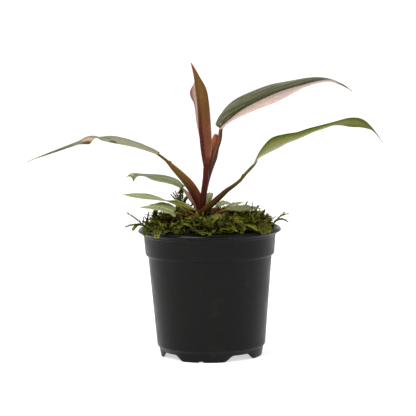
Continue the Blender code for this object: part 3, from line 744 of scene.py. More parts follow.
@dataclass
class Blade:
    """A leaf's blade, as a thin closed surface with its midrib, veins and waved margin.

    Attributes:
        leaf: the leaf.
        thickness: the thickness beside the midrib, in mm.
        row_mm: the distance between rows of points along the blade.
        columns: points from the midrib to each margin.
        pucker: how far the blade rises between side veins, in mm.
    """

    leaf: Leaf
    thickness: float = 0.55
    row_mm: float = 0.7
    columns: int = 22
    pucker: float = 0.07

    def shares(self) -> np.ndarray:
        """Places across, from -1 at the left margin to 1 at the right, closer near the midrib and margins."""
        even_steps = np.linspace(0, 1, self.columns + 1)
        half = 0.3 * even_steps + 0.7 * smooth(0, 1, even_steps)
        return np.concatenate([-half[:0:-1], half])

    def middle_surface(self, t: np.ndarray, v: np.ndarray) -> tuple[np.ndarray, np.ndarray]:
        """The blade without its thickness.

        Each half is an arc that leaves the midrib at the fold angle and bends on by the curl, and its margin
        waves.

        Args:
            t: shares of the length.
            v: shares of the half width, from -1 at the left margin to 1 at the right.

        Returns:
            Points by row and column, and the mm from the midrib there, which are negative on the left.
        """
        middle, along, up, across = (part[:, None] for part in self.leaf.frame_along(t))
        points = np.zeros((len(t), len(v), 3))
        distance = np.zeros((len(t), len(v)))
        share = np.abs(v)[None, :]
        back = self.leaf.lobe * np.sin(0.8 * np.pi * share) * np.clip(1 - t[:, None] / 0.3, 0, 1) ** 2
        for half in Half:
            side = self.leaf.side(half)
            width = self.leaf.width(t, half)[:, None]
            fold = np.radians(spline(side.fold, t))[:, None]
            curl = np.radians(spline(side.curl, t))[:, None]
            bend = np.where(np.abs(curl) < 0.001, 0.001, curl)
            out = width * (np.sin(fold + bend * share) - np.sin(fold)) / bend
            rise = width * (np.cos(fold) - np.cos(fold + bend * share)) / bend
            waves = np.sin(2 * np.pi * (3.3 * t + 0.3 * half.value))[:, None] * np.sin(np.pi * t)[:, None]
            rise = rise + side.wave * share**3 * waves
            surface = middle + across * (half.value * out)[..., None] + up * rise[..., None]
            surface = surface - along * back[..., None]
            here = (np.sign(v) == half.value) | (v == 0)
            points[:, here] = surface[:, here]
            distance[:, here] = (half.value * width * share)[:, here]
        return points, distance

    def normals(self, points: np.ndarray) -> np.ndarray:
        """The upper face's direction at each point of the grid."""
        forward = np.gradient(points, axis=0)
        sideways = np.gradient(points, axis=1)
        return unit(np.cross(sideways, forward))

    def shape(self) -> Shape:
        """The blade's two faces as one closed surface.

        The midrib is a rib under the blade and a groove above it, and the blade rises a little between side
        veins. The faces meet in a thin rounded margin.

        Returns:
            The surface: slot 0 is its upper face, and slot 1 its under face.
        """
        length = length_of(self.leaf.midrib)
        t = np.linspace(0, 1, max(24, int(length / self.row_mm)))
        v = self.shares()
        points, distance = self.middle_surface(t, v)
        away = np.abs(distance)
        swept = self.leaf.vein_sweep * away + 0.6 * self.leaf.vein_sweep * away**2 / self.leaf.half_width
        phase = (t[:, None] * length - swept) / self.leaf.vein_gap
        normal = self.normals(points)
        between = np.sin(np.pi * np.clip(np.abs(v), 0, 1))[None, :] * (1 - 0.7 * t[:, None])
        points = points - normal * (self.pucker * np.cos(2 * np.pi * phase) * between)[..., None]
        half_thick = 0.5 * self.thickness * np.sqrt(1 - np.abs(v) ** 4)[None, :] * (1 - 0.5 * t[:, None])
        rib_base = 0.75 * self.leaf.radii[-1] if self.leaf.radii else 0.4
        rib = rib_base * (1 - t[:, None]) ** 0.8 + 0.1
        ridge = rib * np.exp(-((away / (0.7 * rib + 0.25)) ** 2))
        groove = 0.3 * rib * np.exp(-((away / 0.5) ** 2))
        upper = points + normal * (half_thick - groove)[..., None]
        under = points - normal * (half_thick + ridge)[..., None]
        return self.closed(t, v, upper, under, distance, phase, length)

    def ringed(self, first: np.ndarray, second: np.ndarray) -> np.ndarray:
        """Two grids as rings: the first from right to left, then the second back between the margins."""
        return np.concatenate([first[:, ::-1], second[:, 1:-1]], axis=1)

    def closed(self, t: np.ndarray, v: np.ndarray, upper: np.ndarray, under: np.ndarray, distance: np.ndarray,
               phase: np.ndarray, length: float) -> Shape:
        """Joins the upper and the under face in rings.

        Args:
            t: shares of the length.
            v: shares across.
            upper: the upper face's points.
            under: the under face's points.
            distance: mm from the midrib.
            phase: the vein count.
            length: the blade's length in mm.

        Returns:
            The closed surface with its marks.
        """
        columns = len(v)
        tissue = triples((v[None, :] + 1) / 2, t[:, None], phase)
        reach = triples(distance, t[:, None] * length, 0.0)
        marks = {"tissue": self.ringed(tissue, tissue), "reach": self.ringed(reach, reach)}
        made = tube(self.ringed(upper, under), marks)
        sides = made.faces[0].reshape(len(t) - 1, 2 * columns - 2, 4)
        made.faces[0:1] = [sides[:, :columns - 1].reshape(-1, 4), sides[:, columns - 1:].reshape(-1, 4)]
        made.slots = [0, 1] + [1] * (len(made.faces) - 2)
        return made

    def build(self) -> None:
        """Adds the blade in place of the model's."""
        materials = (self.leaf.upper.material(), self.leaf.under.material())
        add_piece(f"{self.leaf.name}_leaf_blade", self.shape(), materials,
                  [f"blade_{self.leaf.name}"])


@dataclass
class Petiole:
    """A leaf's stalk: round below, grooved above, with the raised edges of its sheath up to where that ends.

    Attributes:
        leaf: the leaf.
        around: points round the stalk.
        row_mm: the distance between rings.
        edge_at: how far the sheath's edges stand above the sides, in radians round the stalk.
        edge_width: how wide they are, in radians.
        flat: the grooved side's height, as a share of the radius.
        groove: the groove's depth, as a share of the radius.
    """

    leaf: Leaf
    around: int = 28
    row_mm: float = 0.8
    edge_at: float = 0.75
    edge_width: float = 0.22
    flat: float = 0.8
    groove: float = 0.3

    def path(self) -> tuple:
        """The petiole's points, carried on a little way under the midrib."""
        middle, _, up, _ = self.leaf.frame_along(np.array([0.0, 0.04]))
        return (*self.leaf.petiole[:-1], tuple(middle[0] - 0.5 * up[0]), tuple(middle[1] - 0.6 * up[1]))

    def shape(self) -> Shape:
        """Rings carried along the path.

        A ring is a circle whose upper half is flattened, with a groove in it, and swells at two places for
        the sheath's edges. Those grow to a small point where the sheath ends.

        Returns:
            The closed stalk.
        """
        path = self.path()
        length = length_of(path)
        t = np.linspace(0, 1, max(16, int(length / self.row_mm)))
        points = even(path, t)
        along = heading_at(path, t)
        grooved = np.asarray(self.leaf.grooved, float)
        up = unit(grooved - (along @ grooved)[:, None] * along)
        across = np.cross(along, up)
        radius = spline((*self.leaf.radii, 0.6 * self.leaf.radii[-1]), t)[:, None]
        turn = turns(self.around)
        is_sheath = 1 - smooth(self.leaf.wing_end - 0.01, self.leaf.wing_end + 0.02, t)[:, None]
        point = np.exp(-(((t - self.leaf.wing_end) / 0.02) ** 2))[:, None]
        wing = self.leaf.wing * is_sheath * (1 + 3.6 * point)
        edge = sum(np.exp(-(((side - self.edge_at) / self.edge_width) ** 2)) for side in (turn, np.pi - turn))
        sideways = np.cos(turn) * (1 + wing * edge)
        lift = np.sin(turn) * np.where(np.sin(turn) > 0, self.flat, 1.0) * (1 + 1.6 * wing * edge)
        lift = lift - self.groove * np.exp(-((np.cos(turn) / 0.4) ** 2)) * (np.sin(turn) > 0)
        rings = (points[:, None] + across[:, None] * (radius * sideways)[..., None]
                 + up[:, None] * (radius * lift)[..., None])
        share = t[:, None]
        tissue = triples((1 + np.sin(turn)) / 2, share, share * length / 3)
        reach = triples(radius * turn, share * length, 0.0)
        return tube(rings, {"tissue": tissue, "reach": reach})

    def build(self) -> None:
        """Adds the petiole in place of the model's."""
        add_piece(f"{self.leaf.name}_leaf_petiole", self.shape(), [self.leaf.stalk.material()],
                  [f"petiole_{self.leaf.name}"])


LEAVES = (
    Leaf(
        name="new", slot="new_leaf",
        midrib=((-2, -1, 143), (-4, -2, 155), (-5.5, -3, 171), (-6.5, -3, 186), (-7.5, -1, 196),
                (-9.5, 2, 209.5), (-12, 5, 220)),
        face=((0.15, 1, 0.1), (0.1, 1, 0.1), (0.1, 1, 0.1), (0.2, 1, 0.1)),
        half_width=12,
        left=Side((18, 26, 38, 43.5, 43, 37.5, 31, 50, 57), (20, 20), wave=0.1),
        right=Side((61, 63, 61, 57, 56, 53, 45, 81, 70), (30, 30, 20, 0), ((0.6, 0.71, 0.86, 2.5),), 0.1),
        peak=0.44, base=0.25, taper=0.75, lobe=0,
        petiole=((-6.5, 0, 104), (-5.5, -1, 111), (-4.5, -1.5, 118), (-3.5, -1.5, 125), (-2.5, -1.5, 131.5),
                 (-2, -1.5, 137.5), (-2, -1, 143)),
        radii=(2.6, 2.5, 2.4, 2.3, 2.2, 2.3),
        upper=NEW_UPPER, under=NEW_UNDER, stalk=RED_STALK, stalk_slot="red_brown_stem",
        grooved=(0.3, 1, 0), wing_end=0.3,
    ),
    Leaf(
        name="pink", slot="pink_leaf",
        midrib=((9.5, 2, 171), (16, 3, 177), (29, 5, 186), (50, 8, 195.5), (68, 10, 201), (89.5, 12, 205.5),
                (100.5, 13, 202.5), (109, 14, 196.5)),
        face=((-0.3, -0.35, 1), (0, -0.35, 1), (0, -0.35, 1), (0, -0.3, 1)),
        half_width=20,
        left=Side((24, 3, -3, -4, -44)),
        right=Side((19, 11, 9, 13, -32)),
        peak=0.34, base=0.32, taper=1.3, lobe=1,
        petiole=((-6.5, 0, 104), (-4.8, 2, 111.5), (-3.5, 2.8, 118.5), (-2.2, 3, 126.5), (-0.3, 2.8, 134),
                 (1.8, 2.5, 141.5), (4, 2.5, 149), (6.5, 2.5, 156), (8.5, 2.5, 162.5), (9.5, 2, 171)),
        radii=(2.4, 1.8, 1.5, 1.4, 1.6, 1.6, 1.6, 1.6),
        upper=PINK_UPPER, under=PINK_UNDER, stalk=PINK_STALK, stalk_slot="red_brown_stem",
        grooved=(-0.8, -1, 0.3), wing_end=0.55, vein_gap=3.0, vein_sweep=2.2,
    ),
    Leaf(
        name="right", slot="olive_leaf",
        midrib=((33.5, -12, 145), (38, -13.5, 152.5), (46.5, -16, 159.5), (56.5, -18, 163.5), (67, -20, 166),
                (82.5, -23, 171), (99, -26, 176), (109.5, -28, 176), (117.5, -29, 172), (122.5, -29.5, 168),
                (128, -30, 161)),
        face=((-0.5, 0, 1), (-0.3, 0, 1), (-0.1, 0, 1), (-0.2, 0, 1), (0.2, 0, 1), (0.5, 0, 1)),
        half_width=15,
        left=Side((0, 11, 17, 12, 8.5, 9, 7, 7, 9, 18, 26, 21, 10), ears=((0.7, 0.83, 0.93, 1.5),)),
        right=Side((-6, -17, -21, -17, -9, -4, 0, 3, -8, -27, -26, -2, 0), ears=((0.62, 0.78, 0.88, 1.5),)),
        peak=0.36, base=0.3, taper=1.3, lobe=0,
        petiole=((-6.5, 0, 104), (-4, -4.5, 110), (0, -5.5, 113.5), (4, -6.5, 117), (8.5, -7, 121),
                 (13, -8, 125), (18, -9, 128.5), (23, -9.5, 132.5), (27.5, -11, 138), (33, -12, 145)),
        radii=(2.9, 2.9, 2.8, 2.6, 2.2, 1.7, 1.45, 1.4, 1.3),
        upper=RIGHT_UPPER, stalk=OLIVE_STALK, grooved=(-0.6, 0, 1), wing=0.16, wing_end=0.75,
    ),
    Leaf(
        name="left",
        midrib=((-38.5, 4, 153), (-46, 5, 156.5), (-56, 6, 160.5), (-66.5, 7, 163.5), (-77, 8, 165),
                (-86.5, 9, 165), (-94, 9.5, 163.5), (-103.5, 10, 160), (-119.5, 11, 154), (-137, 12, 147)),
        face=((0.3, 0, 1), (0.2, 0, 1), (0, 0, 1), (-0.2, 0, 1), (-0.4, 0, 1)),
        half_width=15,
        left=Side((-8, -8, -8, -8, -9, -10, -10.5, -9.5, -7, 1, -20, -18, -13, -14, -15, -18, -21, -25, -28,
                   -28, -26), wave=0),
        right=Side((6, 5, 3, 2, 1, 1, 1, 1.5, 0, -4, 2.6, 3.8, -3, -4, -4, -4, -4, -4, -4, -4, -4), wave=0),
        peak=0.3, base=0.35, taper=1.6, lobe=1.5,
        petiole=((-6.5, 0, 104), (-6.5, 1.5, 112), (-8, 2, 118), (-11, 2.5, 124), (-15.5, 3, 130.5),
                 (-21, 3, 136.5), (-27, 3.5, 142.5), (-32.5, 4, 148), (-38.5, 4, 153)),
        radii=(2.6, 3.4, 4.0, 4.1, 3.8, 3.2, 2.5, 1.5, 1.2),
        upper=LEFT_UPPER, stalk=LEFT_STALK, grooved=(0.7, 0, 1), wing=0.22, wing_end=0.765,
    ),
    Leaf(
        name="small_back",
        midrib=((-21.5, 14, 127.4), (-26, 15, 130.3), (-32.4, 16, 132.3), (-43, 17, 134.3),
                (-51.4, 18, 135.6), (-57.4, 18.5, 136.2), (-60.5, 18.8, 135.2), (-63.2, 19, 132.9)),
        face=((0.2, -0.2, 1), (0.1, -0.2, 1), (0, -0.2, 1), (-0.3, -0.2, 1)),
        half_width=9.5,
        left=Side((-7, -7, -4, -5, -4, 6, -8, -72, -50), ears=((0.74, 0.845, 0.94, 4.0),), wave=0),
        right=Side((-2, -2, -3, -3, -5, -8, -10, -5, 0), wave=0),
        peak=0.3, base=0.4, taper=1.2, lobe=3,
        petiole=((-8.5, 6, 107), (-9.5, 7.5, 112.5), (-13.5, 9, 118), (-18, 12, 123), (-21.5, 14, 127.4)),
        radii=(1.4, 2.1, 2.4, 1.8, 0.9),
        upper=FOLDED_UPPER, stalk=PALE_STALK, wing=0.2, wing_end=0.6, vein_gap=2.8,
    ),
    Leaf(
        name="small_front",
        midrib=((-18.4, -10, 113.4), (-23.2, -10.5, 116.1), (-30.6, -11.5, 118.3), (-39.5, -13, 120.6),
                (-49.9, -14, 122.5), (-64.6, -16, 123.9)),
        face=((0, 0.6, 1), (0, 0.3, 1), (0, -0.1, 1), (-0.1, -0.17, 1), (-0.1, -0.25, 1), (-0.1, -0.3, 1)),
        half_width=8,
        left=Side((0, 0, 0, 0, -8, -12)),
        right=Side((0, 0, 0, 0, 2, 0)),
        peak=0.55, base=0.6, taper=1.2, lobe=8,
        petiole=((-4.5, -7, 103), (-7.5, -9.5, 105), (-11, -10.5, 107), (-14.5, -10.5, 110),
                 (-18.4, -10, 113.4)),
        radii=(1.1, 1.1, 1.1, 1.0, 0.9),
        under=YOUNG_UNDER, vein_gap=2.8,
    ),
    Leaf(
        name="low_left",
        midrib=((-26.8, -20, 110.6), (-30.6, -21, 112.8), (-36.4, -23, 114.7), (-43, -26, 115.8),
                (-51.4, -28, 115.4)),
        face=((-0.1, -0.38, 1), (-0.1, -0.38, 1)),
        half_width=9.5,
        left=Side((5, 4, 0, -2, -2)),
        right=Side((8, 4, -6, -17, -18)),
        peak=0.25, base=0.8,
        petiole=((-10, -6, 99), (-13, -10, 103), (-18, -14, 107), (-22, -17.5, 109), (-26.8, -20, 110.6)),
        radii=(1.2, 1.2, 1.1, 1.0, 0.9),
        vein_gap=4.0,
    ),
    Leaf(
        name="low_right",
        midrib=((14.5, -13.5, 112), (19.5, -15, 112.5), (25, -17, 112.5), (31.5, -19, 112.5),
                (38.5, -21, 112.5)),
        face=((0, -0.05, 1), (0, -0.05, 1)),
        half_width=9,
        right=Side((-6, -6)),
        peak=0.4, base=0.35, taper=1.1, lobe=3,
        petiole=((-0.5, -6, 101), (2.5, -9, 105), (7, -11.5, 109), (14.5, -13.5, 112)),
        radii=(1.2, 1.2, 1.0, 0.9),
        upper=GREY_UPPER, vein_gap=2.8,
    ),
    Leaf(
        name="mid_right",
        midrib=((7.4, 1.5, 112.8), (10.5, 3, 114.2), (14, 4.5, 114.2), (17.4, 6, 113.2)),
        face=((-0.2, -0.3, 1), (0, -0.3, 1), (0.2, -0.3, 1)),
        half_width=4.5,
        lobe=2.5,
        petiole=((0.3, 0, 103), (3, 0.5, 107), (5, 1, 110), (7.4, 1.5, 112.8)),
        radii=(1.2, 1.2, 1.1, 0.9),
        vein_gap=2.4,
    ),
    Leaf(
        name="back_right",
        midrib=((14.5, 15.5, 110.5), (18.5, 17, 111.6), (22.5, 19, 112.4), (26.2, 20.5, 112.9)),
        face=((-0.2, -0.22, 1), (0, -0.22, 1)),
        half_width=4,
        left=Side((4, 4)),
        right=Side((4, 4)),
        petiole=((-1.5, 4.5, 101), (2, 8, 105), (8, 12, 108.5), (14.5, 15.5, 110.5)),
        radii=(1.1, 1.0, 0.9, 0.8),
        vein_gap=2.4,
    ),
    Leaf(
        name="crown_back",
        midrib=((-1.5, 10, 113.5), (-0.5, 12, 117.5), (0.5, 15, 119.5), (1.5, 19, 120.5), (2, 23, 120)),
        face=((0.1, -0.8, 0.5), (0.1, -0.6, 0.8), (0.1, -0.2, 1), (0, 0.1, 1)),
        half_width=3,
        petiole=((-4, 6.2, 101), (-3, 8, 106), (-1.5, 10, 113.5)),
        radii=(1.2, 1.1, 0.9),
        grooved=(0, -1, 0.3), vein_gap=2.4,
    ),
    Leaf(
        name="front_low",
        midrib=((1.5, -18.5, 106.3), (4.5, -21.5, 107), (8, -24, 106.5), (11.2, -26.5, 105)),
        face=((-0.1, -0.5, 1), (0, -0.5, 1), (0.2, -0.5, 1)),
        half_width=4.2,
        lobe=1.5,
        petiole=((-4.2, -6.3, 99), (-2.5, -11, 103), (1.5, -18.5, 106.3)),
        radii=(1.1, 1.0, 0.8),
        upper=GREEN_UPPER, vein_gap=2.4,
    ),
)

SHEATH = Leaf(
    name="sheath", slot="sheath",
    midrib=((-3.8, 5.5, 122.5), (-1.8, 6, 133), (0.9, 6.2, 142), (3.5, 6.5, 149.5), (5.0, 6.5, 158),
            (5.7, 6.5, 166.4)),
    face=((0, -1, 0), (0, -1, 0)),
    half_width=3.5,
    left=Side((18, 18), wave=0.1),
    right=Side((18, 18), wave=0.1),
    peak=0.75, base=0.7, taper=0.35, lobe=0,
    upper=SHEATH_SKIN, under=SHEATH_SKIN, vein_gap=1.6,
)


@dataclass
class Crown:
    """The short stem between the potting mix and the petioles, ringed with the scars of old leaves.

    Attributes:
        heights: heights along the stem.
        radii: its radius at each.
        scars: how many leaf scars ring it.
        rows: rings up the stem.
        around: points round it.
    """

    heights: tuple = (58, 80, 98, 105, 110)
    radii: tuple = (4.2, 4.8, 5.0, 4.9, 3.6)
    scars: int = 9
    rows: int = 90
    around: int = 36

    def shape(self) -> Shape:
        """Rings up the stem's axis, swollen a little below each scar."""
        t = np.linspace(0, 1, self.rows)
        share = t[:, None]
        height = spline(self.heights, t)[:, None]
        turn = turns(self.around)
        phase = self.scars * share + 0.1 * np.sin(turn + 4 * share)
        radius = spline(self.radii, t)[:, None] + 0.25 * np.abs(np.sin(np.pi * phase))
        x, y = STEM_AXIS[0] + radius * np.cos(turn), STEM_AXIS[1] - radius * np.sin(turn)
        rings = triples(x, y, height)
        tissue = triples((1 + np.sin(turn)) / 2, share, phase)
        reach = triples(radius * turn, height, 0.0)
        return tube(rings, {"tissue": tissue, "reach": reach})

    def build(self) -> None:
        """Adds the stem in place of the model's."""
        add_piece("plant_crown", self.shape(), [CROWN_SKIN.material()], ["stem"])


@dataclass(frozen=True)
class BlackPolypropylene:
    """Injection moulded polypropylene, black right through: a satin skin with a fine mould texture.

    Its refractive index is near 1.49. The skin is dull enough to show the room only as soft light at its
    edges, and handling leaves faint dust and scuffs on it. The rubbed lip is glossier.

    Attributes:
        name: the finish's name.
        color: the plastic's colour.
        dust: the colour of the dust on it.
        roughness: the skin's roughness, from its smoothest to its most scuffed.
        gloss: how much of its shine is left.
        grain_mm: the mould texture's grain.
        scuff_mm: how wide a scuff is.
        lip_mm: the height above which it is rubbed.
        lip_rubbed: what rubbing leaves of the roughness there.
    """

    name: str = "black polypropylene, moulded"
    color: str = "#0b0b0a"
    dust: str = "#2c2b28"
    roughness: tuple[float, float] = (0.3, 0.44)
    gloss: float = 0.13
    grain_mm: float = 0.6
    scuff_mm: float = 14.0
    lip_mm: float = 92.0
    lip_rubbed: float = 0.4

    def material(self) -> bpy.types.Material:
        """The finish as a material."""
        made, tree, shader = new_material(self.name)
        here = add_node(tree, "TexCoord", output="Object")
        grain = add_node(tree, "TexNoise", {"Vector": here, "Scale": 1 / (self.grain_mm * MM), "Detail": 2.0})
        scuff = add_node(tree, "TexNoise", {"Vector": here, "Scale": 1 / (self.scuff_mm * MM), "Detail": 8.0,
                                            "Roughness": 0.7})
        dusty = add_node(tree, "MapRange", {"Value": scuff, "From Min": 0.5, "From Max": 0.8, "To Max": 0.35},
                         **SOFT)
        color = add_node(tree, "Mix", {FACTOR: dusty, FIRST: linear(self.color), SECOND: linear(self.dust)},
                         MIXED, **COLORS)
        height = add_node(tree, "SeparateXYZ", {0: here}, output=2)
        rubbed = add_node(tree, "MapRange", {"Value": height, "From Min": self.lip_mm * MM,
                                             "From Max": (self.lip_mm + 1) * MM, "To Min": 1.0,
                                             "To Max": self.lip_rubbed}, **SOFT)
        low, high = self.roughness
        skin = add_node(tree, "MapRange", {"Value": scuff, **NOISE_SPAN, "To Min": low, "To Max": high},
                        **SOFT)
        dull = add_node(tree, "Math", {0: skin, 1: rubbed}, operation="MULTIPLY")
        normal = add_node(tree, "Bump", {"Height": grain, "Strength": 0.15, "Distance": 0.05 * MM})
        feed(tree, shader, {"Base Color": color, "Roughness": dull, "Normal": normal, "IOR": 1.49,
                            "Specular IOR Level": self.gloss})
        return made


@dataclass
class NurseryPot:
    """The four inch pot: a rolled lip, a straight collar, a stepped tapering body and a skirt cut into feet.

    Attributes:
        profile: (radius, height, corner radius) from the floor's middle, up the inside and down the outside.
        foot_gap: the height of the gaps between the feet, and their half width at the top and at the floor.
        gap_angle: where the first gap is, in degrees from +X.
        notch: the small moulding notch in the front foot: its angle in degrees, height, and half width at the
            top and at the floor.
        drains: how many drain holes there are, with their circle's radius and their own.
        skirt: the height where the skirt starts, and the radius of its inner side.
        stretch: the longest stretch of the profile between two rings.
        steps: points round the pot.
    """

    profile: tuple = (
        (0, 7.6, 0), (38.4, 7.6, 1.2), (44.6, 75.8, 0.6), (47.1, 78.0, 0.8), (48.2, 91.6, 1.5),
        (50.4, 94.8, 0.6), (51.3, 96.6, 0.6), (52.6, 96.6, 0.8), (54.0, 94.7, 0.8), (53.3, 93.7, 0.4),
        (50.9, 93.2, 0.4), (50.2, 92.5, 0.3), (50.1, 91.4, 0.3), (49.5, 90.8, 0.4), (48.5, 77.6, 0.5),
        (48.1, 76.6, 0.4), (46.7, 76.0, 0.4), (46.4, 75.0, 0.5), (40.7, 8.6, 0.5), (39.3, 6.8, 0.5),
        (38.0, 0.0, 0.3), (36.8, 0.0, 0.3), (37.6, 5.4, 0.4), (36.6, 6.3, 0.4), (0, 6.3, 0),
    )
    foot_gap: tuple[float, float, float] = (4.5, 6.0, 14.5)
    gap_angle: float = 35.3
    notch: tuple[float, float, float, float] = (-101.7, 0.9, 0.8, 2.6)
    drains: tuple[int, float, float] = (6, 25.0, 4.0)
    skirt: tuple[float, float] = (6.6, 36.5)
    stretch: float = 6.0
    steps: int = 240

    def rounded(self) -> np.ndarray:
        """The profile with each corner turned by a short curve, as (radius, height) points."""
        corners = np.array([point[:2] for point in self.profile], float)
        made = [corners[:1]]
        bends = np.linspace(0, 1, 5)[:, None]
        for index in range(1, len(corners) - 1):
            before, here, after = corners[index - 1:index + 2]
            reach = self.profile[index][2]
            into = unit(before - here) * min(reach, 0.45 * np.linalg.norm(before - here))
            out = unit(after - here) * min(reach, 0.45 * np.linalg.norm(after - here))
            made.append(here + (1 - bends) ** 2 * into + bends**2 * out)
        made.append(corners[-1:])
        return self.filled(np.concatenate(made))

    def filled(self, outline: np.ndarray) -> np.ndarray:
        """The outline with points added where a stretch is too long."""
        made = [outline[:1]]
        for start, end in zip(outline[:-1], outline[1:]):
            pieces = max(1, int(np.ceil(np.linalg.norm(end - start) / self.stretch)))
            made.append(start + (end - start) * np.linspace(0, 1, pieces + 1)[1:, None])
        return np.concatenate(made)

    def lower_edge(self, turn: np.ndarray) -> np.ndarray:
        """The skirt's lower edge: the floor at the feet, and a rounded arch at each gap and at the notch."""
        height, top, low = self.foot_gap
        radius = self.profile[-5][0]
        quarter = np.pi / 2
        away = np.mod(turn - np.radians(self.gap_angle) + quarter / 2, quarter) - quarter / 2
        gap = height * (1 - smooth(top, low, np.abs(away) * radius))
        angle, rise, top, low = self.notch
        beside = np.mod(turn - np.radians(angle) + np.pi, 2 * np.pi) - np.pi
        return gap + rise * (1 - smooth(top, low, np.abs(beside) * radius))

    def shape(self) -> Shape:
        """The profile carried round the axis, with the skirt's points lifted to its lower edge.

        Below the floor a point's height is squeezed between the lower edge and the floor's underside, so that
        the skirt keeps its slope.
        """
        outline = self.rounded()[1:-1]
        turn = turns(self.steps)
        radius, height = outline[:, :1], outline[:, 1:]
        top, inner = self.skirt
        squeezed = self.lower_edge(turn) + height * (top - self.lower_edge(turn)) / top
        is_skirt = (height < top) & (radius > inner)
        lifted = np.where(is_skirt, np.minimum(squeezed, top), height + 0 * turn)
        rings = triples(radius * np.cos(turn), radius * np.sin(turn), lifted)
        rows = len(outline)
        centres = np.array([[0, 0, self.profile[0][1]], [0, 0, self.profile[-1][1]]], float)
        points = np.concatenate([rings.reshape(-1, 3), centres])
        step = np.arange(self.steps)
        after = (step + 1) % self.steps
        last = (rows - 1) * self.steps
        top_centre = np.full(self.steps, rows * self.steps)
        floor = np.stack([top_centre, step, after], axis=-1)
        under = np.stack([top_centre + 1, last + after, last + step], axis=-1)
        return Shape(points, [tube_faces(rows, self.steps), floor, under])

    def drill(self, obj: bpy.types.Object) -> None:
        """Cuts the drain holes through the floor."""
        count, circle, radius = self.drains
        depth = 10 * MM  # right through the floor
        cutters = bpy.data.collections.new("drain cutters")
        for index in range(count):
            angle = 2 * np.pi * index / count
            spot = place((circle * np.cos(angle), circle * np.sin(angle), self.profile[0][1]))
            bpy.ops.mesh.primitive_cylinder_add(vertices=32, radius=radius * MM, depth=depth, location=spot)
            cutter = bpy.context.object
            cutters.objects.link(cutter)
            bpy.context.scene.collection.objects.unlink(cutter)
        cut = obj.modifiers.new("drains", "BOOLEAN")
        cut.operand_type = "COLLECTION"
        cut.collection = cutters
        graph = bpy.context.evaluated_depsgraph_get()
        mesh = bpy.data.meshes.new_from_object(obj.evaluated_get(graph))
        obj.modifiers.clear()
        obj.data = mesh
        for cutter in list(cutters.objects):
            bpy.data.objects.remove(cutter)
        bpy.data.collections.remove(cutters)

    def build(self) -> None:
        """Adds the pot in place of the model's."""
        plastic = BlackPolypropylene().material()
        obj = add_piece("nursery_pot", self.shape(), [plastic], ["pot"])
        self.drill(obj)


@dataclass(frozen=True)
class Crumbs:
    """Loose crumbs, dark, dull and rough, as potting mix and old moss are; the moss litter is made darker
    still as painted shade.

    Attributes:
        name: the finish's name.
        stops: colours from the hollows to the driest crumbs.
        crumb_mm: a crumb's size.
        detail: how finely the colours break up.
        jagged: how sharply they do.
        relief_mm: how high the crumbs stand.
        roughness: their roughness.
        gloss: how much shine they have.
        is_chunky: whether they are separate chunks.
    """

    name: str
    stops: Stops
    crumb_mm: float
    detail: float
    jagged: float
    relief_mm: float
    roughness: float
    gloss: float
    is_chunky: bool

    def material(self) -> bpy.types.Material:
        """The finish as a material."""
        made, tree, shader = new_material(self.name)
        here = add_node(tree, "TexCoord", output="Object")
        scale = 1 / (self.crumb_mm * MM)
        relief = noise = add_node(tree, "TexNoise", {"Vector": here, "Scale": scale, "Detail": self.detail,
                                                     "Roughness": self.jagged})
        if self.is_chunky:
            relief = add_node(tree, "TexVoronoi", {"Vector": here, "Scale": scale}, "Distance")
        feed(tree, shader, {
            "Base Color": add_node(tree, "ValToRGB", {0: noise}, stops=self.stops),
            "Normal": add_node(tree, "Bump", {"Height": relief, "Distance": self.relief_mm * MM}),
            "Roughness": self.roughness,
            "Specular IOR Level": self.gloss,
        })
        return made


BARK_AND_PEAT = Crumbs(
    "bark and peat potting mix", ((0.3, "#1c120c"), (0.5, "#33241a"), (0.7, "#5a4432")),
    crumb_mm=3.0, detail=6.0, jagged=0.5, relief_mm=1.0, roughness=0.95, gloss=0.5, is_chunky=True,
)
# The litter's near black is partly its real dark colour and partly painted shade for the gaps between the
# shoots.
LITTER_AND_SHADE = Crumbs(
    "old moss litter, near black as painted shade", ((0.3, "#0a0803"), (0.5, "#151105"), (0.7, "#2a2609")),
    crumb_mm=1.5, detail=5.0, jagged=0.7, relief_mm=0.8, roughness=0.9, gloss=0.1, is_chunky=False,
)


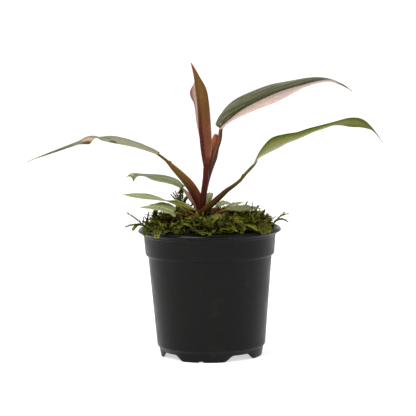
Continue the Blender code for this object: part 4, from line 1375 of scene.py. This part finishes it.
@dataclass(frozen=True)
class FeatherMoss:
    """Living feather moss: tiny translucent dull leaves, yellow green at the tips and dark brown inside, with
    painted shade low in the cover.

    Attributes:
        name: the finish's name.
        stops: colours from the old foot of a shoot to its growing tip, whose near black foot is partly
            painted shade.
        dry: the colour of the odd dried shoot.
        pale: the colour of the odd pale young shoot.
        clump_scale: the scale of the clumps' tints, which are then about 7 mm across.
    """

    name: str = "feather moss shoots"
    stops: Stops = ((0.0, "#0b0902"), (0.3, "#1f2005"), (0.55, "#3c4208"), (0.8, "#585f12"), (1.0, "#7c822c"))
    dry: str = "#5a3c16"
    pale: str = "#959a48"
    clump_scale: float = 140.0

    def material(self) -> bpy.types.Material:
        """The finish as a material, which reads the shoots' growth marks: age, chance and height, where low
        height is painted shade.
        """
        made, tree, shader = new_material(self.name)
        growth = add_node(tree, "Attribute", output="Vector", attribute_name="growth")
        age, chance, lift = add_node(tree, "SeparateXYZ", {0: growth}).node.outputs
        here = add_node(tree, "TexCoord", output="Object")
        clump = add_node(tree, "TexNoise", {"Vector": here, "Scale": self.clump_scale, "Detail": 3.0})
        shares = (
            add_node(tree, "Math", {0: lift, 1: 0.4}, operation="MULTIPLY"),
            add_node(tree, "MapRange", {"Value": clump, **NOISE_SPAN, "To Min": -0.14, "To Max": 0.14},
                     **SOFT),
            add_node(tree, "MapRange", {"Value": chance, "From Min": 0.14, "From Max": 0.9, "To Min": -0.28,
                                        "To Max": 0.26}, **SOFT),
        )
        # Darker toward a shoot's foot and low over the mound: partly the real brown old growth, partly
        # painted shade in the gaps between shoots.
        tone = add_node(tree, "Math", {0: age, 1: 0.5}, operation="MULTIPLY")
        for share in shares:
            tone = add_node(tree, "Math", {0: tone, 1: share}, operation="ADD")
        color = add_node(tree, "ValToRGB", {0: tone}, stops=self.stops)
        for start, end, most, tint in ((0.94, 0.96, 0.8, self.dry), (0.14, 0.1, 0.6, self.pale)):
            shown = add_node(tree, "MapRange", {"Value": chance, "From Min": start, "From Max": end,
                                                "To Max": most}, **SOFT)
            color = add_node(tree, "Mix", {FACTOR: shown, FIRST: color, SECOND: linear(tint)}, MIXED,
                             **COLORS)
        feed(tree, shader, {"Base Color": color, "Roughness": 0.6, "Specular IOR Level": 0.15,
                            "Subsurface Weight": 0.1, "Subsurface Scale": 0.5 * MM})
        return made


def moss_height(x: np.ndarray, y: np.ndarray) -> np.ndarray:
    """The mound's height: a flat dome with soft lumps, a little higher behind, that drops inside the lip."""
    radius = np.hypot(x, y)
    lumps = np.sin(0.23 * x + 1.1) * np.sin(0.27 * y + 0.4) + 0.6 * np.sin(0.41 * x - 0.33 * y)
    dome = MOSS_RISE * (1 - np.clip(radius / MOSS_RADIUS, 0, 1) ** 3)
    lumped = MOSS_LUMPS * lumps * np.clip(1.2 - radius / MOSS_RADIUS, 0, 1)
    return MOSS_EDGE + dome + lumped + 0.03 * y - MOSS_DROP * smooth(MOSS_REACH - 5, MOSS_REACH, radius)


@dataclass(frozen=True)
class Habit:
    """How a kind of moss shoot grows.

    Attributes:
        branch: the length of its longest side branch as a share of its own, or 0 for a bare thread.
        nodes: how many places along it carry leaflets.
        leaflet_mm: a leaflet's length.
        stem_mm: its stem's radius at the foot.
        span_mm: from its shortest length to its longest, for a shoot of the cover.
        foot_pitch, tip_pitch: its angles above the mound at its foot and tip, from least to most, in radians.
    """

    branch: float
    nodes: int
    leaflet_mm: float
    stem_mm: float
    span_mm: tuple[float, float] = (6, 12)
    foot_pitch: tuple[float, float] = (0.25, 1.1)
    tip_pitch: tuple[float, float] = (-0.7, 0.5)


FEATHER = Habit(branch=0.22, nodes=10, leaflet_mm=1.3, stem_mm=0.25)
THREAD = Habit(branch=0.0, nodes=13, leaflet_mm=1.4, stem_mm=0.3, span_mm=(4, 8.5), foot_pitch=(0.7, 1.5),
               tip_pitch=(0.2, 1.5))
LEAFY = Habit(branch=0.3, nodes=10, leaflet_mm=2.1, stem_mm=0.35)
TWIGGY = Habit(branch=0.16, nodes=14, leaflet_mm=2.5, stem_mm=0.5)


@dataclass
class Shoots:
    """Moss shoots of one habit as arrays, one row a shoot, which grow all at once.

    Attributes:
        habit: how they grow.
        feet: where each shoot starts, in mm.
        heading: its level direction.
        normal: the mound's outward direction there.
        length: its length in mm.
        pitch: its angle above the mound at its foot and at its tip, in radians.
        turn: how far it turns sideways, in radians.
        chance: a number from 0 to 1 that tints it.
        is_free: whether it may pass over the pot's lip.
    """

    habit: Habit
    feet: np.ndarray
    heading: np.ndarray
    normal: np.ndarray
    length: np.ndarray
    pitch: np.ndarray
    turn: np.ndarray
    chance: np.ndarray
    is_free: bool = False

    def spine(self) -> tuple[np.ndarray, np.ndarray, np.ndarray]:
        """The spines' points, directions and upper sides, by shoot and node.

        The direction turns evenly from the foot's pitch to the tip's and sideways by the turn, and the points
        are its running sum.
        """
        nodes = self.habit.nodes
        share = np.linspace(0, 1, nodes)[None, :, None]
        side = np.cross(self.heading, self.normal)[:, None]
        yaw = self.turn[:, None, None] * share
        pitch = self.pitch[:, :1, None] * (1 - share) + self.pitch[:, 1:, None] * share
        level = self.heading[:, None] * np.cos(yaw) + side * np.sin(yaw)
        direction = level * np.cos(pitch) + self.normal[:, None] * np.sin(pitch)
        upper = self.normal[:, None] * np.cos(pitch) - level * np.sin(pitch)
        steps = direction * (self.length / (nodes - 1))[:, None, None]
        points = self.feet[:, None] + np.cumsum(steps, axis=1) - steps[:, :1]
        return points if self.is_free else held_in(points), direction, upper

    def pick(self, keep: np.ndarray) -> "Shoots":
        """The shoots for which keep is true."""
        rows = (self.feet, self.heading, self.normal, self.length, self.pitch, self.turn, self.chance)
        return Shoots(self.habit, *(values[keep] for values in rows), self.is_free)

    def shape(self) -> Shape:
        """Every shoot: a thin spine, side branches on both sides, and leaflets on all of them."""
        points, direction, upper = self.spine()
        side = np.cross(direction, upper)
        share = np.linspace(0, 1, self.habit.nodes)[None, :]
        # A point's height over the mound, which the moss finish turns into painted shade low down.
        lift = np.clip((points[..., 2] - moss_height(points[..., 0], points[..., 1]) + 2) / 6, 0, 1)
        marks = triples(share, self.chance[:, None], lift)
        made = [self.stems(points, side, upper, marks)]
        sizes = self.habit.leaflet_mm * (1.1 - 0.5 * share) * np.ones((len(self.feet), 1))
        for hand in (-1, 1):
            out = unit(direction * 0.8 + side * hand * 0.7 + upper * 0.25)
            made.append(leaflets(points, out, upper, sizes, 0.36 * sizes, marks))
            if self.habit.branch:
                made += self.branches(points, direction, side * hand, upper, share, marks)
        if not self.habit.branch:
            over = unit(direction * 0.8 + upper * 0.6)
            made.append(leaflets(points + 0.4 * direction, over, side, sizes, 0.36 * sizes, marks))
        return join(made)

    def branches(self, points: np.ndarray, direction: np.ndarray, side: np.ndarray, upper: np.ndarray,
                 share: np.ndarray, marks: np.ndarray) -> list[Shape]:
        """The side branches on one hand, longest at the shoot's middle, each with leaflets on both sides."""
        sway = 0.3 * np.sin(9.1 * self.chance[:, None] + 2.3 * np.arange(self.habit.nodes)[None, :])
        longest = self.habit.branch * self.length[:, None]
        reach = longest * np.sin(np.pi * (0.08 + 0.84 * share)) ** 0.8 * (1 + sway)
        out = unit(direction * 0.75 + side * 0.7 + upper * (0.08 + 0.5 * sway)[..., None])
        aside = np.cross(out, upper)
        made = [leaflets(points, out, upper, reach, 0.2 + 0 * reach, marks)]
        for place_on, hand in ((0.25, 1), (0.45, -1), (0.65, 1), (0.85, -1)):
            feet = points + out * (reach * place_on)[..., None]
            ahead = unit(out * 0.8 + aside * hand * 0.6 + upper * 0.25)
            size = self.habit.leaflet_mm * (1.0 - 0.35 * place_on) + 0 * reach
            # Farther out along a branch the marks are raised, so the leaflets there are lighter: partly
            # younger growth, partly painted light on the exposed ends.
            outward_marks = marks + np.array([0.25 * place_on, 0, 0.15 * place_on])
            made.append(leaflets(feet, ahead, upper, size, 0.32 * size, outward_marks))
        return made

    def stems(self, points: np.ndarray, side: np.ndarray, upper: np.ndarray, marks: np.ndarray) -> Shape:
        """The spines as thin four-sided tubes that narrow to their tips."""
        nodes = self.habit.nodes
        radius = np.linspace(self.habit.stem_mm, 0.3 * self.habit.stem_mm, nodes)[None, :, None, None]
        around = 4
        turn = turns(around)[..., None]
        out = side[:, :, None] * np.cos(turn) + upper[:, :, None] * np.sin(turn)
        rings = points[:, :, None] + radius * out
        starts = (np.arange(len(points)) * nodes * around)[:, None, None]
        one = [group for group in closed_faces(nodes, around) if len(group)]
        faces = [(group[None] + starts).reshape(-1, group.shape[1]) for group in one]
        spread = np.repeat(marks[:, :, None], around, axis=2)
        return Shape(rings.reshape(-1, 3), faces, [0] * len(faces), {"growth": spread.reshape(-1, 3)})


def held_in(points: np.ndarray) -> np.ndarray:
    """Draws in the points past the mound's reach, and keeps those over the lip above it."""
    radius = np.hypot(points[..., 0], points[..., 1])
    sideways = (points[..., 0] / np.maximum(radius, 1)) ** 2
    over = np.maximum(radius - MOSS_REACH - MOSS_SIDEWAYS * sideways**2, 0)
    shrink = (radius - over + MOSS_OVERHANG * np.tanh(over / 4)) / np.maximum(radius, 1)
    held = points * triples(shrink, shrink, 1.0)
    sill = MOSS_SILL_HEIGHT + MOSS_SILL_RISE * smooth(MOSS_SILL + 1, MOSS_SILL + 4.5, radius * shrink)
    held[..., 2] = np.maximum(points[..., 2], np.where(radius * shrink > MOSS_SILL, sill, 0))
    return held


def leaflets(feet: np.ndarray, ahead: np.ndarray, upper: np.ndarray, length: np.ndarray,
             half_width: np.ndarray, marks: np.ndarray) -> Shape:
    """Pointed leaflets with a ridge from foot to tip and two lower shoulders: four faces each.

    Args:
        feet: where they start.
        ahead: where they point.
        upper: their upper side.
        length: their length in mm.
        half_width: half their width.
        marks: the growth marks at their feet.

    Returns:
        All of them as one shape.
    """
    side = unit(np.cross(ahead, upper))
    top = np.cross(side, ahead)
    wide = side * half_width[..., None]
    middle = feet + 0.4 * ahead * length[..., None] - top * (0.45 * half_width)[..., None]
    corners = np.stack([feet, feet + ahead * length[..., None], middle + wide, middle - wide], axis=-2)
    count = corners.size // 12
    one = np.array([[0, 2, 1], [0, 1, 3], [0, 3, 2], [1, 2, 3]])
    faces = (one[None] + 4 * np.arange(count)[:, None, None]).reshape(-1, 3)
    tips = np.repeat(marks[..., None, :], 4, axis=-2)
    tips[..., 1, 0] += 0.25
    return Shape(corners.reshape(-1, 3), [faces], [0], {"growth": tips.reshape(-1, 3)})


# The shoots that stand out in the photograph, by habit: foot and tip in mm, bow in radians, and tint.
SPRIGS = {
    THREAD: (
        (-49.7, 0, 98, -49.3, 0, 104.3, 0.1, 0.3),
        (-46.5, 0, 99, -48.6, 0, 104.9, 0.2, 0.3),
        (38, 0, 101, 46.8, 1, 103.9, 0.9, 0.3),
        (43, -2, 98, 49.6, 0, 103.7, 0.1, 0.92),
        (52.5, -4, 104, 58.9, -4, 106.2, 0.1, 0.13),
        (31.6, -20, 108, 32.5, -20, 117.2, 0.1, 0.2),
        (-7, -48.5, 98, 0.8, -53, 97.2, 0.3, 0.12),
        (-4, -44, 98.5, -0.5, -53, 96.6, 0.8, 0.5),
    ),
    LEAFY: (
        (-36.5, -36, 100.5, -38.6, -52.5, 98.0, 0.7, 0.5),
        (-44, -30, 98, -47.5, -38.5, 97.4, 0.7, 0.4),
        (-16.5, -41, 99, -5.5, -52.0, 98.4, 0.35, 0.13),
        (37.5, -25, 103, 39.5, -40, 98.2, 0.7, 0.13),
        (40.5, -26, 101.5, 42.6, -39, 98.4, 0.6, 0.5),
        (22, -36, 101, 33, -40, 99.8, 0.5, 0.7),
        (6, -38, 101, 18, -43, 99.5, 0.4, 0.6),
        (17, -28, 104, 9, -37, 103, 0.5, 0.13),
        (28, -20, 105, 22, -31, 104.5, 0.6, 0.7),
        (3, -34, 103, -8, -40, 100.8, 0.4, 0.13),
        (-24, 10, 102, -27.0, 9, 111.0, 0.3, 0.35),
        (-19, 12, 102, -22.0, 12, 114.0, 0.3, 0.16),
        (-16, 10, 102, -17.0, 12, 112.0, 0.3, 0.2),
        (-27, 12, 102, -24.0, 14, 111.0, 0.3, 0.25),
        (-22, 13, 106, -24.5, 13, 117.0, 0.45, 0.3),
        (-20, 13, 106, -18.5, 13, 117.5, 0.45, 0.3),
    ),
    TWIGGY: (
        (-47.5, -8, 97.5, -60.7, -10, 108.8, 0.15, 0.6),
        (-50, -8, 99.5, -61.8, -10, 99.2, 0.3, 0.6),
        (-51.5, -9, 101, -56.5, -13, 97.5, 0.3, 0.65),
        (-46.2, 0, 100, -45.4, 0, 107.8, 0.2, 0.25),
        (-41, 2, 101, -40, 4, 109.5, 0.3, 0.2),
        (46, -4, 96.5, 55.9, -4, 106.6, 0.1, 0.6),
        (48, -4, 99, 57.8, -3, 101, 0.8, 0.5),
        (39, -6, 100, 41, -5, 108.2, 0.3, 0.3),
        (33, 2, 104, 36.6, 0, 111.5, 0.2, 0.2),
        (26.5, 20, 106, 28.9, 20, 112.6, 0.2, 0.2),
        (-22, 14, 104, -20.6, 16, 124.0, 0.15, 0.35),
        (-21.5, 14, 106, -28.3, 14, 119.6, 0.3, 0.45),
        (-22, 14, 108, -25.2, 14, 121.8, 0.2, 0.45),
        (-21, 15, 108, -15.2, 18, 119.0, 0.3, 0.3),
        (-20, 15, 104, -17.2, 16, 117.0, 0.2, 0.35),
        (-25, 14, 104, -30.2, 14, 112.6, 0.3, 0.4),
        (-18, 12, 102, -13.0, 14, 112.0, 0.3, 0.3),
        (-22.5, 13, 106, -26.6, 13, 121.0, 0.35, 0.5),
    ),
}


@dataclass
class MossMound:
    """The moss: a mat of litter, near black as painted shade in the gaps, under a dense cover of feathery
    shoots.

    Attributes:
        feathers: how many feathery shoots cover the mound.
        threads: how many thin upright ones stand among them.
        patches: how many pieces the cover is split into, by direction from the axis.
        seed: the seed of every random draw.
        hollow: the middle, the depth and the radius of the hollow in front of the crown, in mm, which the
            mat's painted shade makes dark.
        keep_off: how near a shoot may come to the plant, in mm.
        wall: the mat's lower edge at the pot's inner wall, as its radius and height.
        mat_rows, mat_steps: the mat's rings, and the points round each.
        mat_reach: the mat's radius where its top begins.
        mat_depth: how deep the mat's top lies under the shoots' tops.
        edge_radius: outside this radius the shoots lie along the lip.
        scatter: how far a shoot's foot may stray, in mm.
    """

    feathers: int = 800
    threads: int = 420
    patches: int = 4
    seed: int = 7
    hollow: tuple[float, float, float, float] = (-10.0, -7.0, 5.0, 5.0)
    keep_off: float = 1.2
    wall: tuple[float, float] = (44.0, 90.6)
    mat_rows: int = 60
    mat_steps: int = 180
    mat_reach: float = 47.2
    mat_depth: float = 2.4
    edge_radius: float = 41.0
    scatter: float = 0.9

    def mat(self) -> Shape:
        """The mat: rings from the pot's inner wall up the dome to the middle, with a crumbled surface."""
        share = np.linspace(0, 1, self.mat_rows)[:, None]
        turn = turns(self.mat_steps)
        wall_radius, wall_height = self.wall
        rim = 0.1
        radius = np.interp(share, (0, rim, 1), (wall_radius, self.mat_reach, 0.3)) + 0 * turn
        x, y = radius * np.cos(turn), radius * np.sin(turn)
        crumbs = 0.7 * np.sin(0.9 * x + 0.4 * y) * np.sin(0.8 * y - 0.3 * x)
        middle_x, middle_y, depth, reach = self.hollow
        dip = depth * np.exp(-((x - middle_x) ** 2 + (y - middle_y) ** 2) / reach**2)
        height = moss_height(x, y) - self.mat_depth + crumbs - dip
        height = np.where(share < rim, wall_height + (height - wall_height) * share / rim, height)
        rings = triples(x, -y, height)
        return tube(rings, {"growth": np.zeros_like(rings)})

    def cover(self, habit: Habit, count: int, draw: np.random.Generator) -> Shoots:
        """Shoots spread evenly over the mound on a spiral, lying over each other every way.

        Args:
            habit: how they grow.
            count: how many.
            draw: the random draws.

        Returns:
            The shoots.
        """
        index = np.arange(count) + 0.5
        radius = 4 + (MOSS_REACH - 3) * np.sqrt(index / count)
        angle = index * np.pi * (3 - np.sqrt(5))
        x = radius * np.cos(angle) + draw.normal(0, self.scatter, count)
        y = radius * np.sin(angle) + draw.normal(0, self.scatter, count)
        step = 0.5
        slope_x = (moss_height(x + step, y) - moss_height(x - step, y)) / (2 * step)
        slope_y = (moss_height(x, y + step) - moss_height(x, y - step)) / (2 * step)
        normal = unit(triples(-0.6 * slope_x, -0.6 * slope_y, 1.0))
        is_edge = radius > self.edge_radius
        toward = np.arctan2(y, x) + np.where(is_edge, draw.choice([-1.4, 1.4], count), 0)
        toward = toward + draw.normal(0, np.where(is_edge, 0.5, 1.4), count)
        heading = triples(np.cos(toward), np.sin(toward), 0.0)
        heading = unit(heading - (heading * normal).sum(axis=-1, keepdims=True) * normal)
        feet = triples(x, y, moss_height(x, y) - FOOT_DEPTH)
        chance = draw.uniform(0, 1, count)
        length = draw.uniform(*habit.span_mm, count)
        pitches = [draw.uniform(*span, count) for span in (habit.foot_pitch, habit.tip_pitch)]
        turn = draw.normal(0, 0.5, count)
        return Shoots(habit, feet, heading, normal, length, np.stack(pitches, axis=-1), turn, chance)

    def sprigs(self, habit: Habit) -> Shoots:
        """The sprigs of one habit, each pitched and headed from its foot to its tip, and bowed about that."""
        rows = np.array(SPRIGS[habit], float)
        feet, tips, bow, chance = rows[:, :3], rows[:, 3:6], rows[:, 6], rows[:, 7]
        reach = tips - feet
        flat = np.hypot(reach[:, 0], reach[:, 1])
        heading = unit(triples(reach[:, 0], reach[:, 1], 0.0) + (0.0001, 0, 0))
        pitch = np.arctan2(reach[:, 2], flat)
        normal = np.tile((0.0, 0.0, 1.0), (len(rows), 1))
        length = np.linalg.norm(reach, axis=1) * (1 + bow**2 / 6)
        pitches = np.stack([pitch + bow, pitch - bow], axis=-1)
        return Shoots(habit, feet, heading, normal, length, pitches, 0 * flat, chance, True)

    def clear_of_plant(self, shoots: Shoots, trees: Sequence[BVHTree]) -> Shoots:
        """Leaves out the shoots whose spines come too near the plant."""
        points = place(shoots.spine()[0][:, ::2])
        reach = self.keep_off * MM
        keep = [all(tree.find_nearest(Vector(point), reach)[0] is None for tree in trees for point in row)
                for row in points]
        return shoots.pick(np.array(keep))

    def build(self) -> None:
        """Adds the mat in place of the model's moss, and the cover in patches."""
        add_piece("moss_mat", self.mat(), [LITTER_AND_SHADE.material()], ["moss"])
        draw = np.random.default_rng(self.seed)
        graph = bpy.context.evaluated_depsgraph_get()
        trees = [BVHTree.FromObject(node, graph) for name, node in frame["nodes"].items()
                 if name.startswith(("blade", "petiole", "stem"))]
        kinds = [self.clear_of_plant(self.cover(habit, count, draw), trees)
                 for habit, count in ((FEATHER, self.feathers), (THREAD, self.threads))]
        kinds += [self.sprigs(habit) for habit in SPRIGS]
        material = FeatherMoss().material()
        for number in range(self.patches):
            parts = []
            for shoots in kinds:
                turned = (np.arctan2(shoots.feet[:, 1], shoots.feet[:, 0]) + np.pi) / (2 * np.pi)
                patch = np.minimum((turned * self.patches).astype(int), self.patches - 1)
                if (patch == number).any():
                    parts.append(shoots.pick(patch == number).shape())
            add_piece(f"moss_shoots_{number + 1}", join(parts), [material], is_smooth=False)


@dataclass
class Studio:
    """The camera, the pale floor and the soft light.

    Attributes:
        camera_mm: the camera's place from the pot's axis.
        aim_z: the height that the picture's middle shows, in mm.
        roll_deg: how far the camera is turned, which tilts the picture a little.
        lens_mm: the focal length.
        sensor_mm: the sensor's width.
        floor_m: the floor's radius in metres.
        softboxes: the lights' names, places in metres, sizes in metres and powers in watts.
        lit: the spot that they are aimed at, in metres.
    """

    camera_mm: tuple[float, float, float] = (-0.955, -1532.6, 276.8)
    aim_z: float = 111.1
    roll_deg: float = 0.877
    lens_mm: float = 177.7
    sensor_mm: float = 36.0
    floor_m: float = 6.0
    softboxes: tuple = (
        ("key softbox", (-0.7, -0.9, 1.3), 0.9, 18.0),
        ("fill softbox", (0.9, -0.8, 0.9), 0.8, 4.0),
    )
    lit: tuple[float, float, float] = (0.0, 0.0, 0.12)

    def add_camera(self) -> None:
        """Adds the camera and makes it the scene's."""
        data = bpy.data.cameras.new("camera")
        data.lens = self.lens_mm
        data.sensor_width = self.sensor_mm
        data.clip_start = 0.05
        camera = bpy.data.objects.new("camera", data)
        bpy.context.scene.collection.objects.link(camera)
        spot = Vector(place(self.camera_mm))
        ahead = Vector((0, -self.camera_mm[1] * MM, (self.aim_z - self.camera_mm[2]) * MM)).normalized()
        right = Vector((1, 0, 0))
        up = right.cross(ahead)
        turn = np.radians(self.roll_deg)
        rolled = right * np.cos(turn) - up * np.sin(turn)
        risen = right * np.sin(turn) + up * np.cos(turn)
        axes = Matrix((rolled, risen, -ahead)).transposed().to_4x4()
        camera.matrix_world = Matrix.Translation(spot) @ axes
        bpy.context.scene.camera = camera

    def add_floor(self) -> None:
        """Adds the pale floor, a wide disc that shines a little so that shadows on it stay faint."""
        material, tree, shader = new_material("white studio floor")
        feed(tree, shader, {"Base Color": linear("#e8e8e8"), "Roughness": 0.9, "Specular IOR Level": 0.0,
                            "Emission Color": (1, 1, 1, 1), "Emission Strength": 0.6})
        bpy.ops.mesh.primitive_circle_add(vertices=96, radius=self.floor_m, fill_type="NGON")
        floor = bpy.context.object
        floor.name = "floor"
        floor.data.materials.append(material)

    def add_softboxes(self) -> None:
        """Adds the square area lights, aimed at the plant."""
        for name, spot, size, power in self.softboxes:
            data = bpy.data.lights.new(name, "AREA")
            data.size = size
            data.energy = power
            light = bpy.data.objects.new(name, data)
            light.location = spot
            light.rotation_euler = (Vector(self.lit) - Vector(spot)).to_track_quat("-Z", "Y").to_euler()
            bpy.context.scene.collection.objects.link(light)

    def add_world(self) -> None:
        """The room: white to the camera, and as light bright behind and at the sides and dimmer in front."""
        world = bpy.data.worlds.new("studio")
        bpy.context.scene.world = world
        world.use_nodes = True
        tree = world.node_tree
        direction = add_node(tree, "TexCoord", output="Generated")
        toward = add_node(tree, "SeparateXYZ", {0: direction}, output=1)
        strength = add_node(tree, "MapRange", {"Value": toward, "From Min": -0.75, "From Max": 0.1,
                                               "To Min": 0.3, "To Max": 0.75}, **SOFT)
        is_camera = add_node(tree, "LightPath", output="Is Camera Ray")
        room, seen = (add_node(tree, "Background", {"Strength": light, "Color": (1, 1, 1, 1)})
                      for light in (strength, 1.1))
        both = add_node(tree, "MixShader", {0: is_camera, 1: room, 2: seen})
        feed(tree, tree.nodes["World Output"], {"Surface": both})

    def build(self) -> None:
        """Adds all of it, and shows colours as they are."""
        self.add_camera()
        self.add_floor()
        self.add_world()
        self.add_softboxes()
        bpy.context.scene.view_settings.view_transform = "Standard"
        bpy.context.scene.cycles.use_denoising = True


def main() -> None:
    """Builds the pot, the moss and the plant, then the studio."""
    logging.basicConfig(level=logging.INFO, format="%(message)s")
    Studio().build()
    NurseryPot().build()
    worn = frame["nodes"]["potting_mix"].data.materials
    worn.clear()
    worn.append(BARK_AND_PEAT.material())
    MossMound().build()
    Crown().build()
    for leaf in LEAVES:
        Petiole(leaf).build()
        Blade(leaf).build()
    sheath = Blade(SHEATH, row_mm=0.4, columns=10, pucker=0.03)
    add_piece("petiole_sheath", sheath.shape(), [SHEATH_SKIN.material()] * 2, ["sheath"])


if __name__ == "__main__":
    main()
